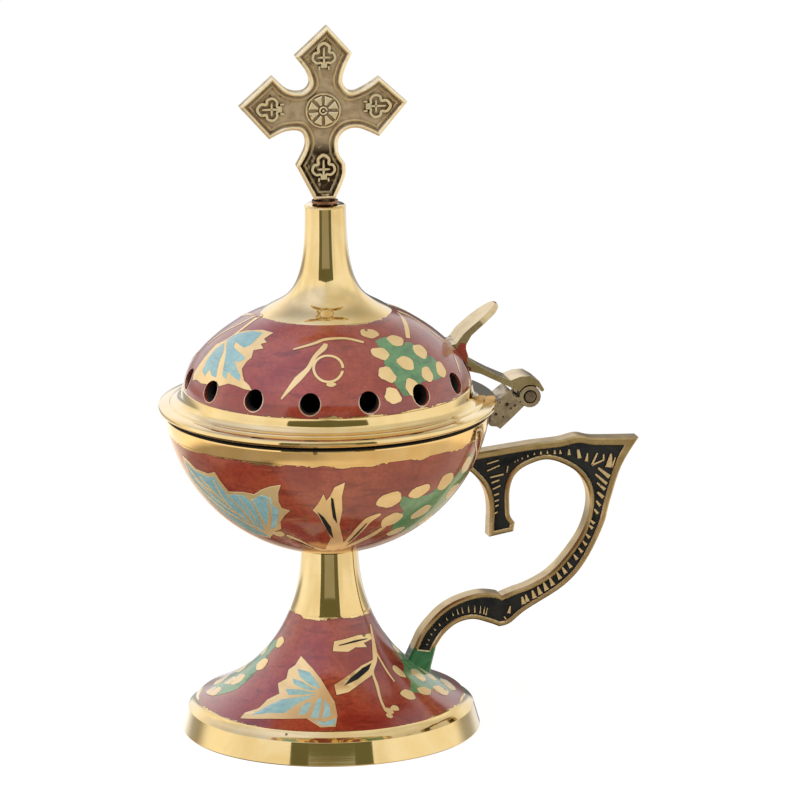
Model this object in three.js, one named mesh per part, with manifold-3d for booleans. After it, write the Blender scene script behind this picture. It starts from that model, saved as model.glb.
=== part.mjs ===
// Hand censer: a turned brass bowl on a trumpet foot, with a hinged pierced lid, a cross on the
// lid's spire and a cast side handle. Enamel is let into the foot, the bowl and the lid.
// Millimetres, +Z up. The floor is Z = 0 and the origin lies under the middle of the outline.

import * as THREE from 'three';
import { mergeVertices } from 'three/addons/utils/BufferGeometryUtils.js';
import Module from 'manifold-3d';

// Gaps and the enamel layer
const clearance = 0.3;
const enamelThickness = 0.8;
const castingWall = 1.5;

// Foot
const footRadius = 36.5;
const footBandHeight = 5.5;
const footBandTaper = 1.4;
const footBandShoulder = 3;
const footBandShoulderTaper = 0.4;
const footLedgeWidth = 2.4;
const footLedgeRise = 2.2;
const footRimWidth = 3;
const footFlareWidth = 1.35;
const footFlareLift = 9.1;
const footEnamelTopRadius = 11;
const neckRadius = 7.05;
const neckHeight = 45.1;
const neckStraight = 6;
const footHollowHeight = 30;

// Bowl
const bowlRadius = 39.95;
const bowlRimDrop = 5.25;
const bowlBandHeight = 4;
const bowlFloorThickness = 3;
const bowlEnamelFootRadius = 8.4;

// Lid
const lidGap = 0.4;
const flangeOverhang = 1.25;
const flangeUndercut = 1;
const flangeLip = 1.4;
const flangeStepInset = 2.7;
const flangeEdgeRound = 0.6;
const flangeDish = 0.4;
const flangeStepSlope = 0.5;
const flangeStepRise = 0.3;
const drumInset = 4.8;
const drumBaseRise = 4.3;
const drumShoulder = 0.65;
const drumTaper = 1.45;
const domeBaseRise = 6.2;
const domeRise = 18.4;
const domeShoulder = 7.5;
const domeCrownRun = 7.1;
const domeCrownFall = 2.3;
const crownRadius = 15.9;
const spireRadius = 5.02;
const spireHeight = 26.4;
const spireChamfer = 0.5;
const spireFlareWidth = 5.7;
const spireFlareRise = 4.2;
const spireFlareTurn = 1.2;
const ventCount = 15;
const ventRadius = 2.5;
const ventRim = 0.4;
const ventRise = 3.3;
const ventTurn = THREE.MathUtils.degToRad(-2);

// Cross and the collar that it stands on
const collarRadius = 3.25;
const collarHeight = 0.7;
const studRadius = 1.5;
const socketDepth = 9;
const studRoot = 1.5;
const crossReach = 20.6;
const crossFootReach = 21.9;
const crossFootHalf = 2.4;
const crossThickness = 3.2;
const crossCornerAlong = 13.6;
const crossCornerAcross = 7.2;
const crossFootCornerAlong = 13.4;
const crossFootCornerAcross = 6.2;
const crossNotchCentre = 8.72;
const crossRimWidth = 1.2;
const crossRecess = 0.6;
const rosetteRadius = 4.3;
const crossTurn = THREE.MathUtils.degToRad(-6);

// Hinge
const pinRadius = 1.4;
const pinReach = 8.7;
const pinRise = 0.65;
const pinHeadProud = 0.3;
const hingeWidth = 8.2;
const knuckleWidth = 2.8;
const earRadius = 2.7;

// Bolt that draws the bowl down on the neck
const boltRadius = 2.5;
const boltHeadRadius = 4.7;
const boltHeadHeight = 2.6;
const boltTail = 2;
const boltChamfer = 0.4;
const boltHeadRound = 1;
const washerRadius = 5.5;
const washerThickness = 1;
const nutAcrossFlats = 8;
const nutHeight = 4;

// Handle
const handleThickness = 5;
const handleBorder = 1.25;
const channelDepth = 1;
const inlayThickness = 0.4;

// The castings' outlines are drawn in steps of this length
const outlineUnitLength = 1;

// Facets
const turnedSides = 32;
const smallSides = 16;
const ventSides = 10;
const outlineStep = 2.8;
const foldTolerance = 0.03;

const wasm = await Module();
wasm.setup();

const at = (x, y) => new THREE.Vector2(x, y);

function solidOf(geometry) {
  const bare = geometry.clone();
  bare.deleteAttribute('normal');
  bare.deleteAttribute('uv');
  const merged = mergeVertices(bare, 1e-4);
  const corners = merged.index.array;
  const triangles = [];
  for (let i = 0; i < corners.length; i += 3) {
    const [a, b, c] = corners.slice(i, i + 3);
    if (a !== b && b !== c && c !== a) triangles.push(a, b, c);
  }
  return new wasm.Manifold(new wasm.Mesh({
    numProp: 3,
    vertProperties: Float32Array.from(merged.attributes.position.array),
    triVerts: Uint32Array.from(triangles),
  }));
}

function geometryOf(solid) {
  const mesh = solid.getMesh();
  const geometry = new THREE.BufferGeometry();
  geometry.setAttribute('position', new THREE.BufferAttribute(mesh.vertProperties, 3));
  geometry.setIndex(new THREE.BufferAttribute(mesh.triVerts, 1));
  geometry.computeVertexNormals();
  return geometry;
}

// A closed (radius, height) outline turned about the vertical axis. The outline runs up the
// outside and down the inside.
function turned(outline, sides = turnedSides) {
  const geometry = new THREE.LatheGeometry([...outline, outline[0]], sides);
  geometry.rotateX(Math.PI / 2);
  return solidOf(geometry);
}

// A closed (x, z) outline made into a plate of the given width, centred on Y = middle.
function plate(outline, width, middle = 0) {
  const geometry = new THREE.ExtrudeGeometry(new THREE.Shape(outline), {
    depth: width,
    bevelEnabled: false,
    curveSegments: 1,
  });
  geometry.rotateX(Math.PI / 2);
  geometry.translate(0, middle + width / 2, 0);
  return solidOf(geometry);
}

// A round bar along Y, centred on (x, z).
function crossBar(x, z, radius, length, sides = smallSides) {
  const geometry = new THREE.CylinderGeometry(radius, radius, length, sides);
  geometry.translate(x, 0, z);
  return solidOf(geometry);
}

// A bar about the vertical axis, standing on a height.
function uprightBar(radius, bottom, height, sides = smallSides) {
  const geometry = new THREE.CylinderGeometry(radius, radius, height, sides);
  geometry.rotateX(Math.PI / 2);
  geometry.translate(0, 0, bottom + height / 2);
  return solidOf(geometry);
}

// Points along a curve between two of its parameters.
function stretch(curve, from, to, steps) {
  return Array.from({ length: steps + 1 }, (_, i) => curve.getPoint(from + ((to - from) * i) / steps));
}

// The parameter at which a curve's x falls to a value.
function whereNarrowed(curve, x) {
  let low = 0;
  let high = 1;
  for (let i = 0; i < 40; i += 1) {
    const middle = (low + high) / 2;
    if (curve.getPoint(middle).x > x) low = middle;
    else high = middle;
  }
  return low;
}

function distanceToLine(point, line, closed) {
  let least = Infinity;
  const last = closed ? line.length : line.length - 1;
  for (let i = 0; i < last; i += 1) {
    const a = line[i];
    const run = line[(i + 1) % line.length].clone().sub(a);
    const share = point.clone().sub(a).dot(run) / run.lengthSq();
    const nearest = a.clone().addScaledVector(run, THREE.MathUtils.clamp(share, 0, 1));
    least = Math.min(least, nearest.distanceTo(point));
  }
  return least;
}

// A line moved sideways, to the left of its run for a positive distance. A point belongs to a
// fold, and is left out, where the move brings it closer to the line than that distance or
// turns the stretch after it round.
function beside(line, distance, closed = false) {
  const moved = line.map((point, i) => {
    const before = line[i - 1] ?? (closed ? line.at(-1) : null);
    const after = line[i + 1] ?? (closed ? line[0] : null);
    const runIn = before ? point.clone().sub(before).normalize() : null;
    const runOut = after ? after.clone().sub(point).normalize() : null;
    const along = (runIn ?? runOut).clone().add(runOut ?? runIn).normalize();
    const spread = Math.max(along.dot(runIn ?? runOut), 0.5);
    return at(point.x - (along.y * distance) / spread, point.y + (along.x * distance) / spread);
  });
  const least = Math.abs(distance) * (1 - foldTolerance);
  return moved.filter((point, i) => {
    const next = moved[i + 1] ?? (closed ? moved[0] : null);
    const run = (line[i + 1] ?? line[0]).clone().sub(line[i]);
    const turnedRound = next !== null && next.clone().sub(point).dot(run) <= 0;
    return !turnedRound && distanceToLine(point, line, closed) >= least;
  });
}

// A line with both of its ends drawn back.
function trimmed(line, length) {
  const start = line[1].clone().sub(line[0]).setLength(length).add(line[0]);
  const end = line.at(-2).clone().sub(line.at(-1)).setLength(length).add(line.at(-1));
  return [start, ...line.slice(1, -1), end];
}

// Evenly spaced points along a smooth curve through the given points.
function smooth(points) {
  const curve = new THREE.SplineCurve(points);
  return curve.getSpacedPoints(Math.max(2, Math.round(curve.getLength() / outlineStep)));
}

// Stretches joined end to end, with each shared point kept once.
function joined(...stretches) {
  const line = stretches.flat();
  return line.filter((point, i) => point.distanceTo(line.at(i - 1)) > 1e-3);
}

function arc(x, y, radius, fromDegrees, toDegrees, steps) {
  return Array.from({ length: steps + 1 }, (_, i) => {
    const angle = THREE.MathUtils.degToRad(fromDegrees + ((toDegrees - fromDegrees) * i) / steps);
    return at(x + radius * Math.cos(angle), y + radius * Math.sin(angle));
  });
}

// Heights and radii that several pieces share
const recessDepth = enamelThickness + clearance;
const wallDepth = recessDepth + castingWall;
const seatDepth = recessDepth - clearance;
const seatHeight = neckHeight + clearance;
const bowlCentre = seatHeight + Math.sqrt(bowlRadius ** 2 - neckRadius ** 2);
const bowlFloor = seatHeight + bowlFloorThickness;
const rimHeight = bowlCentre - bowlRimDrop;
const rimRadius = Math.sqrt(bowlRadius ** 2 - bowlRimDrop ** 2);
const lidBase = rimHeight + lidGap;
const flangeRadius = bowlRadius + flangeOverhang;
const drumBaseRadius = flangeRadius - drumInset;
const domeRadius = drumBaseRadius - drumTaper;
const domeBase = lidBase + domeBaseRise;
const crownHeight = domeBase + domeRise;
const spireTop = crownHeight + spireHeight;
const collarBase = spireTop + clearance;
const crossFoot = collarBase + collarHeight + clearance;
const crossCentre = crossFoot + crossFootReach;
const pinX = flangeRadius + pinReach;
const pinZ = lidBase + pinRise;

// Foot: a leaning band, a plain ledge, then one flare up to the neck.
const ledgeRadius = footRadius - footBandTaper - footLedgeWidth;
const ledgeHeight = footBandHeight + footLedgeRise;
const footFlare = new THREE.CubicBezierCurve(
  at(ledgeRadius, ledgeHeight),
  at(neckRadius + footFlareWidth, ledgeHeight + footFlareLift),
  at(neckRadius, neckHeight - neckStraight),
  at(neckRadius, neckHeight),
);
const footEnamelEnd = whereNarrowed(footFlare, footEnamelTopRadius);
const footEnamelLine = stretch(footFlare, 0, footEnamelEnd, 6);

function makeFoot() {
  const inner = beside(stretch(footFlare, 0, 1, 9), wallDepth)
    .filter((point) => point.y < footHollowHeight && point.x > washerRadius + clearance);
  const boreRadius = boltRadius + clearance;
  return turned([
    at(footRadius, 0),
    at(footRadius - footBandShoulderTaper, footBandShoulder),
    at(footRadius - footBandTaper, footBandHeight),
    footEnamelLine[0],
    ...beside(footEnamelLine, recessDepth),
    footEnamelLine.at(-1),
    ...stretch(footFlare, footEnamelEnd, 1, 4).slice(1),
    at(boreRadius, neckHeight),
    at(boreRadius, footHollowHeight),
    at(inner.at(-1).x, footHollowHeight),
    ...inner.reverse(),
    at(footRadius - footRimWidth, 0),
  ]);
}

function enamelShell(line) {
  const outer = trimmed(line, clearance);
  return turned([...outer, ...beside(outer, enamelThickness).reverse()]);
}

// Bowl: a sphere cut flat on top and seated flat on the neck.
const sphereAngle = (height, radius = bowlRadius) =>
  THREE.MathUtils.radToDeg(Math.asin((height - bowlCentre) / radius));
const bandBottom = sphereAngle(rimHeight - bowlBandHeight);
const enamelBottom = THREE.MathUtils.radToDeg(-Math.acos(bowlEnamelFootRadius / bowlRadius));
const bowlEnamelLine = arc(0, bowlCentre, bowlRadius, enamelBottom, bandBottom, 7);
const bowlInnerRadius = bowlRadius - wallDepth;

function makeBowl() {
  const boreRadius = boltRadius + clearance;
  const inside = arc(
    0, bowlCentre, bowlInnerRadius,
    sphereAngle(rimHeight, bowlInnerRadius), sphereAngle(bowlFloor, bowlInnerRadius), 7,
  );
  return turned([
    at(boreRadius, seatHeight),
    at(neckRadius, seatHeight),
    bowlEnamelLine[0],
    ...beside(bowlEnamelLine, recessDepth),
    bowlEnamelLine.at(-1),
    at(rimRadius, rimHeight),
    ...inside,
    at(boreRadius, bowlFloor),
  ]);
}

// Lid: a flange that rests on the rim, a plain drum, the enamelled dome and the spire.
const domeCurve = new THREE.CubicBezierCurve(
  at(domeRadius, domeBase),
  at(domeRadius, domeBase + domeShoulder),
  at(crownRadius + domeCrownRun, crownHeight - domeCrownFall),
  at(crownRadius, crownHeight),
);
const spireCurve = new THREE.CubicBezierCurve(
  at(crownRadius, crownHeight),
  at(spireRadius + spireFlareWidth, crownHeight + spireFlareRise),
  at(spireRadius, crownHeight + spireFlareTurn),
  at(spireRadius, spireTop - spireChamfer),
);
const domeLine = stretch(domeCurve, 0, 1, 6);

// Round cutters, one for each vent, that lie level and point at the axis.
function ventCutters(radius) {
  const cutLength = 4 * wallDepth;
  const cutters = Array.from({ length: ventCount }, (_, i) => {
    const geometry = new THREE.CylinderGeometry(radius, radius, cutLength, ventSides);
    geometry.rotateZ(Math.PI / 2);
    geometry.translate(domeRadius, 0, domeBase + ventRise);
    geometry.rotateZ(((i + 0.5) * 2 * Math.PI) / ventCount + ventTurn);
    return solidOf(geometry);
  });
  return wasm.Manifold.union(cutters);
}

function makeLid() {
  const crownInside = crownHeight - wallDepth;
  const inner = beside(domeLine, wallDepth).filter((point) => point.y < crownInside);
  const lipBottom = lidBase + flangeUndercut;
  const lipTop = lipBottom + flangeLip;
  const stepRadius = flangeRadius - flangeStepInset;
  const body = turned([
    at(inner[0].x, lidBase),
    at(rimRadius, lidBase),
    at(flangeRadius, lipBottom),
    at(flangeRadius, lipTop - flangeEdgeRound),
    at(flangeRadius - flangeEdgeRound, lipTop),
    at(stepRadius, lipTop - flangeDish),
    at(stepRadius - flangeStepSlope, lipTop + flangeStepRise),
    at(drumBaseRadius, lidBase + drumBaseRise),
    at(domeRadius + drumShoulder, domeBase - drumShoulder),
    domeLine[0],
    ...beside(domeLine, recessDepth),
    domeLine.at(-1),
    ...stretch(spireCurve, 0, 1, 7).slice(1),
    at(spireRadius - spireChamfer, spireTop),
    at(studRadius + clearance, spireTop),
    at(studRadius + clearance, spireTop - socketDepth),
    at(0, spireTop - socketDepth),
    at(0, crownInside),
    ...inner.reverse(),
  ]);
  return body.subtract(ventCutters(ventRadius));
}

function makeLidEnamel() {
  return enamelShell(domeLine)
    .subtract(ventCutters(ventRadius + ventRim))
    .subtract(roomFor(strapOutline(), hingeWidth));
}

// Cross: four arms with diamond ends, hollowed between the arms by round notches. The lowest
// arm tapers to the foot that stands on the collar.
function crossOutline() {
  const corner = at(crossCornerAcross, crossCornerAlong);
  const notch = at(crossNotchCentre, crossNotchCentre);
  const radius = notch.distanceTo(corner);
  const lean = THREE.MathUtils.radToDeg(Math.atan2(corner.y - notch.y, corner.x - notch.x));
  const upperNotch = arc(notch.x, notch.y, radius, 90 - lean, lean - 360, 7);
  const lowerNotch = upperNotch.map((point) => at(point.x, -point.y)).reverse();
  const footCorner = at(crossFootCornerAcross, -crossFootCornerAlong);
  const rightSide = [
    at(crossFootHalf, -crossFootReach),
    footCorner,
    ...lowerNotch.slice(1),
    at(crossReach, 0),
    ...upperNotch,
  ];
  const leftSide = rightSide.map((point) => at(-point.x, point.y)).reverse();
  return [...rightSide, at(0, crossReach), ...leftSide];
}

function makeCross() {
  const outline = crossOutline();
  const sunk = beside(outline, crossRimWidth, true);
  const faceMiddle = crossThickness / 2;
  let body = plate(outline, crossThickness);
  for (const side of [-1, 1]) {
    const recess = plate(sunk, 2 * crossRecess, side * faceMiddle);
    const rosette = crossBar(0, 0, rosetteRadius, 4 * crossRecess)
      .translate([0, side * faceMiddle, 0]);
    body = body.subtract(recess.subtract(rosette));
  }
  const studDrop = crossFoot - (spireTop - socketDepth + clearance);
  const stud = uprightBar(studRadius, -crossFootReach - studDrop, studDrop + studRoot);
  return body.add(stud);
}

function ring(innerRadius, outerRadius, bottom, height) {
  return turned([
    at(innerRadius, bottom),
    at(outerRadius, bottom),
    at(outerRadius, bottom + height),
    at(innerRadius, bottom + height),
  ], smallSides);
}

function makeCollar() {
  return ring(studRadius + clearance, collarRadius, collarBase, collarHeight);
}

// Bolt, washers and nut, stacked from the bowl's floor down to the nut in the foot.
const bowlWasherBase = bowlFloor + clearance;
const boltHeadBase = bowlWasherBase + washerThickness + clearance;
const footWasherBase = footHollowHeight - clearance - washerThickness;
const nutBase = footWasherBase - clearance - nutHeight;

function makeWasher(bottom) {
  return ring(boltRadius + clearance, washerRadius, bottom, washerThickness);
}

function makeBolt() {
  const end = nutBase - boltTail;
  const top = boltHeadBase + boltHeadHeight;
  return turned([
    at(0, end),
    at(boltRadius - boltChamfer, end),
    at(boltRadius, end + boltChamfer),
    at(boltRadius, boltHeadBase),
    at(boltHeadRadius, boltHeadBase),
    at(boltHeadRadius, top - boltHeadRound),
    at(boltHeadRadius - boltHeadRound, top),
    at(0, top),
  ], smallSides);
}

function makeNut() {
  const corner = nutAcrossFlats / 2 / Math.cos(Math.PI / 6);
  const bore = uprightBar(boltRadius + clearance, nutBase - nutHeight, 3 * nutHeight);
  return uprightBar(corner, nutBase, nutHeight, 6).subtract(bore);
}

// Places on the hinge and on the handle, each from the piece that it follows
const placesFrom = (startX, startZ) => (x, z) =>
  at(startX + x * outlineUnitLength, startZ + z * outlineUnitLength);
const fromPin = placesFrom(pinX, pinZ);
const fromDome = placesFrom(domeRadius, domeBase);
const fromRim = placesFrom(rimRadius + clearance, rimHeight);
const fromBowl = placesFrom(bowlRadius, bowlCentre);
const fromFoot = placesFrom(ledgeRadius, ledgeHeight);

// Lid strap: one casting with a thumb lever, a bar to the hinge and a curl over the ears. Its
// root lies along the dome's wall, and a knuckle under the curl turns on the pin.
function strapOutline() {
  const curlRadius = earRadius + clearance;
  return joined(
    [fromDome(-7, 4.5), fromDome(-1.5, 2.2)],
    [fromDome(2.5, 1), fromPin(-5.4, 2.9), fromPin(-3.2, 1.7)],
    arc(pinX, pinZ, curlRadius, 150, 22, 9),
    [fromPin(3.3, 1.1)],
    smooth([
      fromPin(3.6, 1.6), fromPin(2.4, 3.7), fromPin(0.6, 5),
      fromPin(-1.2, 5.4), fromPin(-3.2, 5), fromPin(-4.9, 4.4),
    ]),
    smooth([
      fromDome(5.8, 0.9), fromDome(2, 3.1), fromDome(0.3, 4.3), fromDome(-0.7, 5.6), fromDome(-1.1, 7.4),
    ]),
    smooth([
      fromDome(-1.1, 8.4), fromDome(-0.1, 10.3), fromDome(2, 12.2), fromDome(4.4, 14.1), fromDome(6.6, 15.7),
    ]),
    [fromDome(7.7, 16.8), fromDome(7.7, 17.7), fromDome(6.9, 17.8)],
    smooth([
      fromDome(5.6, 16.9), fromDome(3.4, 15.3), fromDome(1, 13.5), fromDome(-1.5, 11.5), fromDome(-3.6, 8.9),
    ]),
    [fromDome(-10, 8)],
  );
}

// The whole block inside a turned line, used to fit castings against it.
function blockInside(line, inset) {
  const edge = beside(line, inset);
  return turned([at(0, edge[0].y), ...edge, at(0, edge.at(-1).y)]);
}

function makeStrap() {
  const blade = plate(strapOutline(), hingeWidth);
  const knuckle = plate(joined(
    arc(pinX, pinZ, earRadius, 150, 390, 12),
    [fromPin(2.2, 3.2), fromPin(-2.4, 3.2)],
  ), knuckleWidth);
  const bore = crossBar(pinX, pinZ, pinRadius + clearance, hingeWidth);
  return blade.add(knuckle).subtract(bore).subtract(blockInside(domeLine, seatDepth));
}

// Bowl bracket: two ears on a stem that runs down to the bowl's rim band.
function makeBracket() {
  const outline = joined(
    [fromRim(0, -5.7), fromRim(1.5, -5.9)],
    [fromPin(-7.6, -7.6), fromPin(-4, -4.5)],
    arc(pinX, pinZ, earRadius, -125, 180, 15),
    [fromPin(-3.5, 0.1), fromPin(-4.2, 0.4), fromPin(-4.9, 2), fromPin(-8.4, -0.6)],
    [fromRim(0, -0.3)],
  );
  const slot = crossBar(pinX, pinZ, earRadius + clearance, knuckleWidth + 2 * clearance);
  const bore = crossBar(pinX, pinZ, pinRadius + clearance, 2 * hingeWidth);
  return plate(outline, hingeWidth).subtract(slot).subtract(bore);
}

function makePin() {
  return crossBar(pinX, pinZ, pinRadius, hingeWidth + 2 * pinHeadProud);
}

// Handle: a flat casting whose outline rises from the bowl to a spur, sweeps round the fingers
// and curls down to the foot. A short tab hangs beside the bowl.
function handleOutline() {
  const topEdge = smooth([
    fromBowl(-7, -18.3), fromBowl(1.5, -17.4), fromBowl(11, -16.5), fromBowl(18, -16.1),
    fromBowl(22.6, -15.3), fromBowl(27, -16.2), fromBowl(38, -16.8),
  ]);
  const outerEdge = smooth([
    fromBowl(38, -16.8), fromBowl(33.6, -23.7), fromBowl(30.6, -32.6), fromBowl(28.9, -38.6),
    fromBowl(24.3, -47.4), fromFoot(26, 23.8), fromFoot(16.5, 18.4), fromFoot(12.3, 15.3),
    fromFoot(9.6, 14.6),
  ]);
  const footOuter = smooth([
    fromFoot(9.6, 14.6), fromFoot(6.8, 15.8), fromFoot(2.8, 17), fromFoot(-1.2, 16.2),
    fromFoot(-4.4, 13.8), fromFoot(-6.5, 10.8), fromFoot(-7.6, 7.4), fromFoot(-8.6, 1.5),
  ]);
  const footInner = smooth([
    fromFoot(-15.5, 5.5), fromFoot(-11.9, 11.3), fromFoot(-10.3, 14.5), fromFoot(-7.9, 17.4),
    fromFoot(-4.8, 20.2), fromFoot(-0.7, 22.3), fromFoot(4.8, 23.5), fromFoot(9.2, 23),
  ]);
  const loop = smooth([
    fromFoot(10.2, 22.4), fromFoot(13.3, 23.5), fromFoot(17.3, 24.7), fromFoot(22.5, 27.4),
    fromBowl(19.6, -45.3), fromBowl(23.6, -39.5), fromBowl(25.4, -33.2), fromBowl(24.7, -28),
    fromBowl(21.4, -23.8), fromBowl(15.3, -20.9), fromBowl(10, -21.8), fromBowl(6.6, -24.1),
    fromBowl(5.2, -27.8), fromBowl(5.1, -32.7),
  ]);
  const tabEnd = [
    fromBowl(5.3, -34.5), fromBowl(6.3, -36.3), fromBowl(6.3, -38.1),
    fromBowl(0.7, -39.3), fromBowl(-0.2, -38.5),
  ];
  const tabInner = smooth([
    fromBowl(-0.1, -36.5), fromBowl(0.1, -32.5), fromBowl(-0.4, -28.9), fromBowl(-1.9, -25.6),
    fromBowl(-5.4, -21.6), fromBowl(-9, -19.6),
  ]);
  return joined(topEdge, outerEdge, footOuter, footInner, loop, tabEnd, tabInner).reverse();
}

const handleLine = handleOutline();
const footLine = stretch(footFlare, 0, 1, 12);

function clearOfVessel(solid, inset) {
  return solid.subtract(blockInside(bowlEnamelLine, inset)).subtract(blockInside(footLine, inset));
}

// A layer of the sunk channel on one face. The channel stops short of the bowl and the foot,
// where the metal runs through whole.
function channelLayer(inset, depthFrom, depthTo, side) {
  const middle = side * (handleThickness / 2 - (depthFrom + depthTo) / 2);
  const layer = plate(beside(handleLine, inset, true), depthTo - depthFrom, middle);
  return clearOfVessel(layer, -inset);
}

function makeHandle() {
  let body = clearOfVessel(plate(handleLine, handleThickness), seatDepth);
  for (const side of [-1, 1]) {
    body = body.subtract(channelLayer(handleBorder, -clearance, channelDepth, side));
  }
  return body;
}

function makeInlay(side) {
  const bottom = channelDepth - clearance;
  return channelLayer(handleBorder + clearance, bottom - inlayThickness, bottom, side);
}

// Room in the enamel for a casting that is brazed to the brass under it.
function roomFor(outlinePoints, width) {
  return plate(beside(outlinePoints, -clearance, true), width + 2 * clearance);
}

function makeBowlEnamel() {
  return enamelShell(bowlEnamelLine).subtract(roomFor(handleLine, handleThickness));
}

function makeFootEnamel() {
  return enamelShell(footEnamelLine).subtract(roomFor(handleLine, handleThickness));
}

// Finishes
const polishedBrass = { color: 0xd9a94a, roughness: 0.18, metalness: 1 };
const agedBrass = { color: 0x9c8148, roughness: 0.42, metalness: 1 };
const redEnamel = { color: 0x8e3f2f, roughness: 0.22, metalness: 0 };
const blackEnamel = { color: 0x15181c, roughness: 0.35, metalness: 0 };
const steel = { color: 0x9a9a98, roughness: 0.35, metalness: 1 };

const vessel = new THREE.Group();

function addPiece(name, solid, finish) {
  const mesh = new THREE.Mesh(geometryOf(solid), new THREE.MeshStandardMaterial(finish));
  mesh.name = name;
  vessel.add(mesh);
  return mesh;
}

addPiece('foot', makeFoot(), polishedBrass);
addPiece('foot_enamel', makeFootEnamel(), redEnamel);
addPiece('bowl', makeBowl(), polishedBrass);
addPiece('bowl_enamel', makeBowlEnamel(), redEnamel);
addPiece('stem_bolt', makeBolt(), steel);
addPiece('bowl_washer', makeWasher(bowlWasherBase), steel);
addPiece('foot_washer', makeWasher(footWasherBase), steel);
addPiece('stem_nut', makeNut(), steel);
addPiece('bowl_hinge_bracket', makeBracket(), agedBrass);
addPiece('hinge_pin', makePin(), agedBrass);
addPiece('handle', makeHandle(), agedBrass);
addPiece('handle_inlay_front', makeInlay(-1), blackEnamel);
addPiece('handle_inlay_back', makeInlay(1), blackEnamel);
addPiece('lid', makeLid(), polishedBrass);
addPiece('lid_enamel', makeLidEnamel(), redEnamel);
addPiece('lid_hinge_strap', makeStrap(), agedBrass);
addPiece('cross_collar', makeCollar(), agedBrass);
const crossPiece = addPiece('cross', makeCross(), agedBrass);
crossPiece.position.z = crossCentre;
crossPiece.rotation.z = crossTurn;

// The outline reaches from the flange's far side to the handle's spur.
const spurReach = Math.max(...handleLine.map((point) => point.x));
vessel.position.x = (flangeRadius - spurReach) / 2;

export default vessel;
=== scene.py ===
# Hand censer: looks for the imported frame. Metres, +Z up, the floor at Z = 0.
import math

import bpy
from mathutils import Matrix, Vector


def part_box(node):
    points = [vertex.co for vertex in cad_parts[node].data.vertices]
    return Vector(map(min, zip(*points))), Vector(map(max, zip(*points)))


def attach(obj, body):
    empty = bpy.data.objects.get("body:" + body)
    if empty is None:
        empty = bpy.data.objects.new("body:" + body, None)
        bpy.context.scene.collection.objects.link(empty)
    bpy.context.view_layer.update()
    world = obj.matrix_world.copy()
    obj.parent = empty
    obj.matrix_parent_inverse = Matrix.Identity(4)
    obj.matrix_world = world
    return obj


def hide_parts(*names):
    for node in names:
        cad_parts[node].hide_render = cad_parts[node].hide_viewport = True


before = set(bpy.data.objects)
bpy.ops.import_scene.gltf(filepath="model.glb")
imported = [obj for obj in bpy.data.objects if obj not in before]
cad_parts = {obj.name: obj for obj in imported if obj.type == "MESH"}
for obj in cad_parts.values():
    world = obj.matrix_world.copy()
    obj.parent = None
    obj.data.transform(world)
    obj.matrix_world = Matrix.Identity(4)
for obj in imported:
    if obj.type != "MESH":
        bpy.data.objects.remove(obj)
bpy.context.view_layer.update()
mm = 0.001

bowlLow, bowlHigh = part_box("bowl")
axisX = (bowlLow.x + bowlHigh.x) / 2  # the turned pieces stand round this upright line


# Working steps that the pieces share

def deselectAll():
    if bpy.context.mode != "OBJECT":
        bpy.ops.object.mode_set(mode="OBJECT")
    bpy.ops.object.select_all(action="DESELECT")


def pick(*pieces):
    deselectAll()
    for piece in pieces:
        piece.select_set(True)
    bpy.context.view_layer.objects.active = pieces[0]
    return pieces[0]


def editAll(*steps):
    # every step works in edit mode on the whole of the active mesh
    bpy.ops.object.mode_set(mode="EDIT")
    for step in steps:
        bpy.ops.mesh.select_all(action="SELECT")
        step()
    bpy.ops.object.mode_set(mode="OBJECT")


def weld():
    bpy.ops.mesh.remove_doubles(threshold=1e-6)


def turnOut():
    bpy.ops.mesh.normals_make_consistent(inside=False)


def faceOutwards(piece):
    pick(piece)
    editAll(turnOut)


def applyPlace():
    bpy.ops.object.transform_apply(location=True, rotation=True, scale=True)


def applyModifier(piece, kind, **settings):
    pick(piece)
    modifier = piece.modifiers.new(kind.title(), kind)
    for name, value in settings.items():
        setattr(modifier, name, value)
    bpy.ops.object.modifier_apply(modifier=modifier.name)


def bevelEdges(piece, width, angle=30):
    applyModifier(piece, "BEVEL", width=width * mm, segments=2, limit_method="ANGLE",
                  angle_limit=math.radians(angle), use_clamp_overlap=True, harden_normals=False)


def cutAway(piece, cutter):
    applyModifier(piece, "BOOLEAN", object=cutter, operation="DIFFERENCE", solver="EXACT")
    bpy.data.objects.remove(cutter)


def smoothShade(piece, angle=30):
    pick(piece)
    bpy.ops.object.shade_smooth_by_angle(angle=math.radians(angle))


def settleNormals(piece):
    # large faces stay flat between their rounded edges
    applyModifier(piece, "WEIGHTED_NORMAL", keep_sharp=True)


def nameAs(piece, name):
    piece.name = name
    piece.data.name = name
    return piece


def joinPieces(name, pieces):
    piece = pick(*pieces)
    if len(pieces) > 1:
        bpy.ops.object.join()
    return nameAs(piece, name)


def paint(piece, *materials):
    piece.data.materials.clear()
    for material in materials:
        piece.data.materials.append(material)


def finishPiece(piece, body, nodes=()):
    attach(piece, body)
    if nodes:
        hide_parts(*nodes)


def bezierPoints(a, b, c, d, steps):
    points = []
    for i in range(steps + 1):
        t = i / steps
        u = 1 - t
        points.append(tuple(u * u * u * a[k] + 3 * u * u * t * b[k] + 3 * u * t * t * c[k] + t * t * t * d[k]
                            for k in range(2)))
    return points


def arcPoints(centreHeight, radius, fromDegrees, toDegrees, steps):
    angles = [math.radians(fromDegrees + (toDegrees - fromDegrees) * i / steps) for i in range(steps + 1)]
    return [(radius * math.cos(a), centreHeight + radius * math.sin(a)) for a in angles]


def lengthsAlong(line):
    lengths = [0.0]
    for a, b in zip(line, line[1:]):
        lengths.append(lengths[-1] + math.dist(a, b))
    return lengths


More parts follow.
